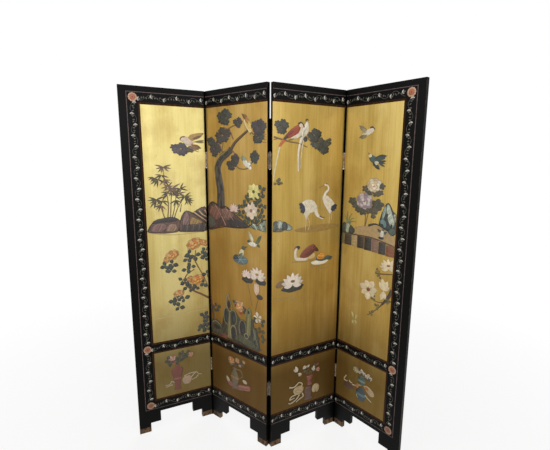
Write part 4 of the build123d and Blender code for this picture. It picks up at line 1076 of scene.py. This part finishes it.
    # lower panel: a teal vase over a blue jar, ribbons and a fan
    # a flat brown patch of painted shadow under the ribbons
    wash(vases, ((56, 268), (70, 292), (110, 290), (124, 272), (90, 258)), "#5f3a24")
    turnedForm(vases, 171, ((14, 322), (18, 328), (23, 344), (22, 358), (13, 366), (14, 372)), 2.8, "#49695f")
    turnedForm(vases, 171, ((20, 336), (24, 342), (23, 348)), 2.8, "#8aa596", 0.5)
    turnedForm(vases, 170, ((18, 228), (20, 234), (28, 246), (32, 264), (28, 284), (14, 298), (16, 304)), 3.0,
               "#2d4d57")
    turnedForm(vases, 170, ((29, 256), (32, 262), (31, 270)), 3.0, "#5f8a90", 0.4)
    patch(vases, ((184, 322), (206, 332), (240, 320), (252, 296), (232, 284), (204, 300)), 2.4, "#e8cd9e")
    disc(vases, 206, 316, 26, 20, 1.4, "#cc7c40", 1.8)
    stripes(vases, [((212, 314), (244, 312)), ((212, 310), (246, 300)), ((210, 306), (234, 290))], ("#a8824a",), 3, 2.0,
            0.6)
    strokes(vases, (
        ((196, 274), (216, 263), (238, 253)), ((150, 262), (146, 246), (160, 236)), ((58, 306), (66, 322), (72, 332)),
        ((56, 300), (74, 298), (80, 304)), ((92, 310), (104, 302), (112, 306)), ((112, 296), (136, 300), (156, 316)),
        ((150, 308), (160, 316), (172, 318))), 9, 5, 1.8, "#ecd6b0")
    patch(vases, ((132, 300), (146, 320), (158, 312), (150, 292)), 1.8, "#c98a54", 0.4)
    rose(blossoms, 134, 392, 38, 0, "#cdb480", "#ecdcb4", 0.9)
    for u, z, size in ((170, 400, 24), (186, 390, 26), (200, 382, 28), (224, 382, 24), (156, 388, 18), (212, 396, 18)):
        starFlower(blossoms, u, z, size, "#f0e2c8", "#b0604a", 6, u)
    strokes(foliage, (
        ((170, 372), (150, 384), (134, 390)), ((171, 372), (174, 390), (170, 398)),
        ((172, 372), (198, 376), (222, 380))), 3, 2, 1.2, "#6a5a34")
    leaves(foliage, ((150, 398), (190, 374), (214, 372), (178, 382)), 28, "#46452f", 23)


reliefNames = ("rocks", "foliage", "blossoms", "birds", "vases")


def reliefMesh(name, relief, span):
    # kept clear of the joints and of the border
    low, high = span
    low += reliefLimit["border"] if low else reliefLimit["joint"]
    high -= reliefLimit["joint"] if high == screen["width"] else reliefLimit["border"]
    verts = [(min(max(x, low * mm), high * mm), y, z) for x, y, z in relief["verts"]]
    mesh = closedMesh(name, verts, relief["faces"])
    colours = mesh.color_attributes.new("tint", "FLOAT_COLOR", "POINT")
    colours.data.foreach_set("color", [part for tint in relief["tints"] for part in tint])
    for face in mesh.polygons:
        face.use_smooth = True
    return mesh


for leaf, draw in ((1, leafOne), (2, leafTwo), (3, leafThree), (4, leafFour)):
    carving = {name: newRelief() for name in reliefNames}
    draw(**carving)
    for name, relief in carving.items():
        pieceName = "leaf_%d_carved_%s" % (leaf, name)
        piece = finishPiece(pieceName, reliefMesh(pieceName, relief, giltSpan(leaf)), leaf, soapstone)
        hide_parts("leaf_%d_carvings" % leaf)
    print("carvings on leaf", leaf, sum(len(r["faces"]) for r in carving.values()), "faces")


# Pink lines that part the plain border from the flowered bands
borderLine = {"width": 3.8, "proud": 0.35, "sunk": 0.3, "inset": 37.0, "topDrop": 28.0, "bottom": 133.0, "end": 1.2}


def linePath(leaf):
    width, end = screen["width"], borderLine["end"]
    top, bottom = screen["height"] - borderLine["topDrop"], borderLine["bottom"]
    if leaf == 1:
        return [[(width - end, bottom), (borderLine["inset"], bottom), (borderLine["inset"], top), (width - end, top)]]
    if leaf == 4:
        inner = width - borderLine["inset"]
        return [[(end, bottom), (inner, bottom), (inner, top), (end, top)]]
    return [[(end, top), (width - end, top)], [(end, bottom), (width - end, bottom)]]


def stripMesh(name, paths):
    # a flat strip with mitred corners
    half = borderLine["width"] / 2
    levels = ((half, borderLine["sunk"]), (half * 0.8, -borderLine["proud"]), (-half * 0.8, -borderLine["proud"]),
              (-half, borderLine["sunk"]))
    verts, faces = [], []
    for path in paths:
        rows = []
        for i, q in enumerate(path):
            before = Vector(q) - Vector(path[i - 1]) if i else Vector(path[1]) - Vector(q)
            after = Vector(path[i + 1]) - Vector(q) if i + 1 < len(path) else before
            sides = [Vector((-d.y, d.x)).normalized() for d in (before, after)]
            side = sides[0] + sides[1]
            side = side / side.dot(sides[0])
            rows.append([len(verts) + k for k in range(4)])
            verts += [((q[0] + side.x * w) * mm, y * mm, (q[1] + side.y * w) * mm) for w, y in levels]
        skin(faces, rows)
    return closedMesh(name, verts, faces)


for leaf in screen["turns"]:
    name = "leaf_%d_border_line" % leaf
    finishPiece(name, stripMesh(name, linePath(leaf)), leaf, linePink)
print("border lines done")


# Thin matte black strips put in the open joints between the hinges, where the real screen shows only shade: painted
# shade. Each stands on the line of the pins, so that nothing moves across it, with a web fixed to the edge of one leaf.
jointShadeStrip = {"radius": 2.9, "fieldRadius": 4.7, "sides": 16, "web": (-0.35, -0.05), "webDepth": 7.0, "foot": 2.0,
             "heads": {2: 1828.0, 3: 1675.0, 4: 1828.0}, "hinges": (329.0, 1487.0), "hingeRoom": 40.5}


def shadeStripMesh(name, across, behind, webTo, head, fields):
    # thicker along the gilt fields, which lie deeper than the rails; left out at the hinges
    hinges, room = jointShadeStrip["hinges"], jointShadeStrip["hingeRoom"]
    marks = {jointShadeStrip["foot"], head} | {z for field in fields for z in field}
    marks |= {z + side for z in hinges for side in (-room, room)}
    marks = sorted(z for z in marks if z <= head)
    left, right = jointShadeStrip["web"]
    web = [(left, behind), (right, behind), (right, webTo), (left, webTo)]
    turns = [2 * math.pi * i / jointShadeStrip["sides"] for i in range(jointShadeStrip["sides"])]
    verts, faces = [], []
    for low, high in zip(marks, marks[1:]):
        middle = (low + high) / 2
        if any(abs(middle - z) < room for z in hinges):
            continue
        radius = jointShadeStrip["fieldRadius" if any(a < middle < b for a, b in fields) else "radius"]
        rod = [(across + radius * math.cos(a), behind + radius * math.sin(a)) for a in turns]
        for outline in (rod, web):
            size, first = len(outline), len(verts)
            verts += [(u * mm, y * mm, z * mm) for z in (low, high) for u, y in outline]
            skin(faces, [range(first, first + size), range(first + size, first + 2 * size)])
    return closedMesh(name, verts, faces)


for leaf in (2, 3, 4):
    inFront = leaf != 3
    behind = -screen["frontStandoff"] if inFront else screen["thickness"] + screen["backStandoff"]
    webTo = behind + jointShadeStrip["webDepth"] * (1 if inFront else -1)
    name = "joint_bead_%d_%d" % (leaf - 1, leaf)
    fields = (screen["lowerField"], screen["upperField"]) if inFront else ()
    mesh = shadeStripMesh(name, -screen["edgeGap"] / 2, behind, webTo, jointShadeStrip["heads"][leaf], fields)
    finishPiece(name, mesh, leaf, jointShadeBlack)
print("joint shade strips done")


# Flowered bands: a waving vine with cupped flowers on alternate sides and small leaves between
band = {"pitch": 50.5, "flowerSide": 6.5, "vineSide": 13.0, "vineRadius": 0.9, "flowerSize": 18.5, "leafSize": 12.0,
        "heights": (157.0, 489.0, 1778.0), "inset": 64.0, "rosetteRoom": 27.0, "end": 6.0, "lead": 11.5, "seed": 7,
        "vineStep": 4.0, "leavesPerPitch": 4}
# where on the pitch the first one stands, its shift in mm, its lean and the chance in it in radians
bandFlower = {"start": 0.18, "side": band["flowerSide"], "lean": 0.16, "spread": 0.1}
bandLeaf = {"start": 0.1, "side": 6.0, "lean": 1.1, "spread": 0.5}


def bandLines(leaf):
    width, room, end = screen["width"], band["rosetteRoom"], band["end"]
    left = band["inset"] + room if leaf == 1 else band["lead"]
    right = width - band["inset"] - room if leaf == 4 else width - end
    lines = [((right, z), (left, z)) for z in band["heights"]]
    if leaf in (1, 4):
        u = band["inset"] if leaf == 1 else width - band["inset"]
        lines += [((u, low + room), (u, high - room)) for low, high in zip(band["heights"], band["heights"][1:])]
    return lines


def newTree(name, sockets):
    tree = bpy.data.node_groups.new(name, "GeometryNodeTree")
    tree.interface.new_socket("Geometry", in_out="INPUT", socket_type="NodeSocketGeometry")
    ids = {}
    for label, kind in sockets:
        ids[label] = tree.interface.new_socket(label, in_out="INPUT", socket_type=kind).identifier
    tree.interface.new_socket("Geometry", in_out="OUTPUT", socket_type="NodeSocketGeometry")
    return tree, ids, addNode(tree, "NodeGroupInput"), addNode(tree, "NodeGroupOutput")


def endTree(tree, geometry, material, out):
    real = addNode(tree, "GeometryNodeRealizeInstances", None, {0: geometry})
    coat = addNode(tree, "GeometryNodeSetMaterial", None, {"Geometry": real, "Material": material})
    feed(tree, out, {0: coat})


def sideways(tree, tangent, amount):
    # a shift across the band, in the plane of the leaf
    across = addNode(tree, "ShaderNodeVectorMath", {"operation": "CROSS_PRODUCT"}, {0: tangent, 1: (0, 1, 0)})
    return addNode(tree, "ShaderNodeVectorMath", {"operation": "SCALE"}, {0: across, "Scale": amount})


def vineTree():
    tree, ids, given, out = newTree("bandVine", (("Pitch", "NodeSocketFloat"), ("Side", "NodeSocketFloat"),
                                                 ("Radius", "NodeSocketFloat"), ("Material", "NodeSocketMaterial")))
    fine = addNode(tree, "GeometryNodeResampleCurve", {"mode": "LENGTH"}, {
        "Curve": given, "Length": band["vineStep"] * mm})
    along = addNode(tree, "GeometryNodeSplineParameter")
    phase = maths(tree, "DIVIDE", along.outputs["Length"], given.outputs["Pitch"])
    phase = maths(tree, "MULTIPLY", phase, math.pi)
    wave = maths(tree, "COSINE", phase)
    amount = maths(tree, "MULTIPLY", wave, given.outputs["Side"])
    shift = sideways(tree, addNode(tree, "GeometryNodeInputTangent"), amount)
    moved = addNode(tree, "GeometryNodeSetPosition", None, {"Geometry": fine, "Offset": shift})
    ring = addNode(tree, "GeometryNodeCurvePrimitiveCircle", None, {"Resolution": 6, "Radius": given.outputs["Radius"]})
    tube = addNode(tree, "GeometryNodeCurveToMesh", None, {
        "Curve": moved, "Profile Curve": ring, "Fill Caps": True})
    endTree(tree, tube, given.outputs["Material"], out)
    return tree, ids


def sprigTree():
    # one small shape at each step along the band, on alternate sides, turned with the band
    tree, ids, given, out = newTree("bandSprig", (
        ("Pitch", "NodeSocketFloat"), ("Start", "NodeSocketFloat"), ("Side", "NodeSocketFloat"),
        ("Lean", "NodeSocketFloat"), ("Spread", "NodeSocketFloat"), ("Shape", "NodeSocketObject"),
        ("Seed", "NodeSocketInt"), ("Material", "NodeSocketMaterial")))
    trimmed = addNode(tree, "GeometryNodeTrimCurve", {"mode": "LENGTH"}, {
        "Curve": given, 4: given.outputs["Start"], 5: 10.0})
    steps = addNode(tree, "GeometryNodeCurveToPoints", {"mode": "LENGTH"}, {
        "Curve": trimmed, "Length": given.outputs["Pitch"]})
    index = addNode(tree, "GeometryNodeInputIndex")
    odd = maths(tree, "MODULO", index, 2.0)
    sign = maths(tree, "MULTIPLY_ADD", odd, 2.0, -1.0)
    amount = maths(tree, "MULTIPLY", sign, given.outputs["Side"])
    shift = sideways(tree, steps.outputs["Tangent"], amount)
    moved = addNode(tree, "GeometryNodeSetPosition", None, {"Geometry": steps, "Offset": shift})
    split = addNode(tree, "ShaderNodeSeparateXYZ", None, {0: steps.outputs["Tangent"]})
    angle = maths(tree, "ARCTAN2", split.outputs["Z"], split.outputs["X"])
    angle = maths(tree, "MULTIPLY", angle, -1.0)
    lean = maths(tree, "MULTIPLY", sign, given.outputs["Lean"])
    angle = maths(tree, "ADD", angle, lean)
    low = maths(tree, "MULTIPLY", given.outputs["Spread"], -1.0)
    chance = addNode(tree, "FunctionNodeRandomValue", {"data_type": "FLOAT"}, {
        2: low, 3: given.outputs["Spread"], "Seed": given.outputs["Seed"]})
    angle = maths(tree, "ADD", angle, chance.outputs[1])
    turn = addNode(tree, "ShaderNodeCombineXYZ", None, {1: angle})
    shape = addNode(tree, "GeometryNodeObjectInfo", None, {"Object": given.outputs["Shape"]})
    grown = addNode(tree, "GeometryNodeInstanceOnPoints", None, {
        "Points": moved, "Instance": shape.outputs["Geometry"], "Rotation": turn})
    endTree(tree, grown, given.outputs["Material"], out)
    return tree, ids


def bandCurve(leaf):
    curve = bpy.data.curves.new("bandRun", "CURVE")
    curve.dimensions = "3D"
    for start, end in bandLines(leaf):
        spline = curve.splines.new("POLY")
        spline.points.add(1)
        for point, (u, z) in zip(spline.points, (start, end)):
            point.co = (u * mm, 0.0, z * mm, 1)
    return addObject("bandRun", curve)


def grow(run, tree, ids, values):
    # evaluate one tree on the run and keep the result as a plain mesh
    modifier = run.modifiers.new("grow", "NODES")
    modifier.node_group = tree
    for label, value in values.items():
        modifier[ids[label]] = value
    bpy.context.view_layer.update()
    evaluated = run.evaluated_get(bpy.context.evaluated_depsgraph_get())
    mesh = bpy.data.meshes.new_from_object(evaluated)
    run.modifiers.remove(modifier)
    return mesh


def smallShape(name, outline, rise):
    # a low closed shape, a few dozen faces, drawn in mm around the origin
    relief = newRelief()
    dome(relief, outline, rise, "#808080")
    mesh = closedMesh(name, [(x, y - screen["recess"] * mm, z) for x, y, z in relief["verts"]], relief["faces"])
    return addObject(name, mesh)


def cupOutline(size):
    # a flower head seen from the side: an arched crescent that comes to a blunt point
    outer = [(size * (0.44 * math.cos(a) + 0.05 * math.cos(a) ** 9), size * 0.5 * math.sin(a))
             for a in (math.radians(-88 + 176 * i / 14) for i in range(15))]
    inner = [(size * 0.15 * math.cos(a), size * 0.38 * math.sin(a))
             for a in (math.radians(80 - 160 * i / 8) for i in range(9))]
    return outer + inner


calyx = [(0.16 - x, y) for x, y in blade(0.62, 0.5, 0.35)]
flowerShape = smallShape("flowerCup", cupOutline(band["flowerSize"]), 0.9)
calyxShape = smallShape("flowerFoot", placed(calyx, 0, 0, 0, band["flowerSize"]), 0.6)
sprigShape = smallShape("sprig", placed(blade(1.0, 0.42, 0.45), 0, 0, 0, band["leafSize"]), 0.6)
vine, vineIds = vineTree()
sprig, sprigIds = sprigTree()
pitch = band["pitch"] * mm
for leaf in screen["turns"]:
    run = bandCurve(leaf)
    mesh = grow(run, vine, vineIds, {"Pitch": pitch, "Side": band["vineSide"] * mm, "Radius": band["vineRadius"] * mm,
                                     "Material": vineGrey})
    finishPiece("leaf_%d_band_vine" % leaf, mesh, leaf, None)
    for name, shape, material, step, habit in (
            ("flowers", flowerShape, flowerWhite, pitch, bandFlower),
            ("calyxes", calyxShape, vineGrey, pitch, bandFlower),
            ("leaves", sprigShape, leafOlive, pitch / band["leavesPerPitch"], bandLeaf)):
        mesh = grow(run, sprig, sprigIds, {
            "Pitch": step, "Start": pitch * habit["start"], "Side": habit["side"] * mm, "Lean": habit["lean"],
            "Spread": habit["spread"], "Seed": band["seed"], "Shape": shape, "Material": material})
        finishPiece("leaf_%d_band_%s" % (leaf, name), mesh, leaf, None)
    bpy.data.objects.remove(run)
for shape in (flowerShape, calyxShape, sprigShape):
    bpy.data.objects.remove(shape)
print("flowered bands done")


# Rosettes where the bands cross: a ring of petals round a domed heart
rosette = {
    "radius": 21.0, "rim": (12, 10.5, 10.0), "rimTint": "#d3a585",              # petals, their length and width
    "heart": 27.0, "heartTint": "#96502f", "inner": (8, 11.5, 8.0), "innerTint": "#bd6a40",
    "boss": 8.0, "bossTint": "#7c3a20",
}


def rosetteRelief(relief, u, z):
    base = screen["recess"]
    count, length, width = rosette["rim"]
    for i in range(count):
        outline = [(rosette["radius"] - length + x, y) for x, y in petal(length, width)]
        dome(relief, placed(outline, u, z, 360 / count * i), 2.4, rosette["rimTint"], base)
    dome(relief, placed(oval(rosette["heart"], rosette["heart"], 28), u, z), 2.6, rosette["heartTint"], base)
    count, length, width = rosette["inner"]
    for i in range(count):
        dome(relief, placed(petal(length, width), u, z, 360 / count * i), 1.2, rosette["innerTint"], base + 2.2)
    dome(relief, placed(oval(rosette["boss"], rosette["boss"], 14), u, z), 1.2, rosette["bossTint"], base + 3.0)


for leaf in (1, 4):
    relief = newRelief()
    across = band["inset"] if leaf == 1 else screen["width"] - band["inset"]
    for height in band["heights"]:
        rosetteRelief(relief, across, height)
    name = "leaf_%d_rosettes" % leaf
    mesh = reliefMesh(name, relief, (0.0, screen["width"]))
    piece = finishPiece(name, mesh, leaf, soapstone)
    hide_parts("leaf_%d_carvings" % leaf)
print("rosettes done")


# Camera where the photograph was taken from
view = {"focalPixels": 364.46, "imageWidth": 550, "place": (0.29377, -1.78124, 1.49667),
        "yaw": -8.198, "pitch": -10.313, "roll": 0.397}


def aimCamera():
    yaw, pitch, roll = (math.radians(view[k]) for k in ("yaw", "pitch", "roll"))
    forward = Vector((math.sin(yaw) * math.cos(pitch), math.cos(yaw) * math.cos(pitch), math.sin(pitch)))
    right = Vector((math.cos(yaw), -math.sin(yaw), 0))
    up = right.cross(forward)
    tilted = math.cos(roll) * right + math.sin(roll) * up
    upright = math.cos(roll) * up - math.sin(roll) * right
    data = bpy.data.cameras.new("photoCamera")
    data.sensor_fit = "HORIZONTAL"
    data.sensor_width = 36.0
    data.lens = view["focalPixels"] * data.sensor_width / view["imageWidth"]
    data.clip_start = 0.02
    camera = addObject("photoCamera", data)
    camera.matrix_world = Matrix.Translation(view["place"]) @ Matrix((tilted, upright, -forward)).transposed().to_4x4()
    bpy.context.scene.camera = camera


# Pale floor and soft light from large panels
lamps = {
    "frontPanel": {"place": (0.35, -2.3, 1.75), "aim": (0.0, 0.0, 1.3), "size": (0.9, 0.7), "power": 12},
    "rightPanel": {"place": (2.6, -2.4, 2.1), "aim": (-0.4, 0.0, 1.2), "size": (1.8, 1.8), "power": 25},
    "leftPanel": {"place": (-2.4, -2.6, 2.2), "aim": (0.2, 0.0, 1.2), "size": (1.6, 1.6), "power": 24},
    "backPanel": {"place": (-0.9, 2.9, 2.3), "aim": (0.0, 0.0, 1.0), "size": (1.8, 1.8), "power": 40},
    "overhead": {"place": (0.0, -0.8, 3.6), "aim": (0.0, 0.0, 0.9), "size": (3.0, 2.0), "power": 20},
}


def seenRay(tree):
    # 1 for rays from the camera, and for those that metal or glass sends on
    path = addNode(tree, "ShaderNodeLightPath").outputs
    seen = maths(tree, "MAXIMUM", path["Is Camera Ray"], path["Is Glossy Ray"])
    return maths(tree, "MAXIMUM", seen, path["Is Transmission Ray"])


def lightScene():
    for name, lamp in lamps.items():
        data = bpy.data.lights.new(name, "AREA")
        data.shape = "RECTANGLE"
        data.size, data.size_y = lamp["size"]
        data.energy = lamp["power"]
        light = addObject(name, data)
        light.location = lamp["place"]
        light.rotation_euler = (Vector(lamp["aim"]) - Vector(lamp["place"])).to_track_quat("-Z", "Y").to_euler()
    world = bpy.data.worlds.new("studio")
    world.use_nodes = True
    tree = world.node_tree
    sky = tree.nodes["Background"]
    feed(tree, sky, {0: (0.92, 0.92, 0.9, 1), 1: 0.26})
    white = addNode(tree, "ShaderNodeBackground", None, {0: (1, 1, 1, 1), 1: 1.0})
    mix = addNode(tree, "ShaderNodeMixShader", None, {0: seenRay(tree), 1: sky, 2: white})
    feed(tree, tree.nodes["World Output"], {0: mix})
    bpy.context.scene.world = world


def layFloor():
    mesh = bpy.data.meshes.new("floor")
    reach = 6.0
    mesh.from_pydata([(-reach, -reach, 0), (reach, -reach, 0), (reach, reach, 0), (-reach, reach, 0)], [],
                     [(0, 1, 2, 3)])
    material, tree, shader = startMaterial("paleFloor")
    feed(tree, shader, {"Base Color": linear("#efeeec"), "Roughness": 0.9})
    # the floor is near white to the eye, takes the shadow near the screen and is lost in the white far off
    glow = addNode(tree, "ShaderNodeEmission", None, {0: (1, 1, 1, 1), 1: 1.0})
    coords = addNode(tree, "ShaderNodeTexCoord")
    away = addNode(tree, "ShaderNodeVectorMath", {"operation": "LENGTH"}, {0: coords.outputs["Object"]})
    share = remap(tree, away.outputs["Value"], (0.9, 2.6), (0.84, 1.0))
    share = maths(tree, "MULTIPLY", seenRay(tree), share)
    mix = addNode(tree, "ShaderNodeMixShader", None, {0: share, 1: shader, 2: glow})
    feed(tree, tree.nodes["Material Output"], {0: mix})
    mesh.materials.append(material)
    floor = addObject("floor", mesh)


aimCamera()
lightScene()
layFloor()
bpy.context.scene.view_settings.view_transform = "Standard"
print("camera and light done")
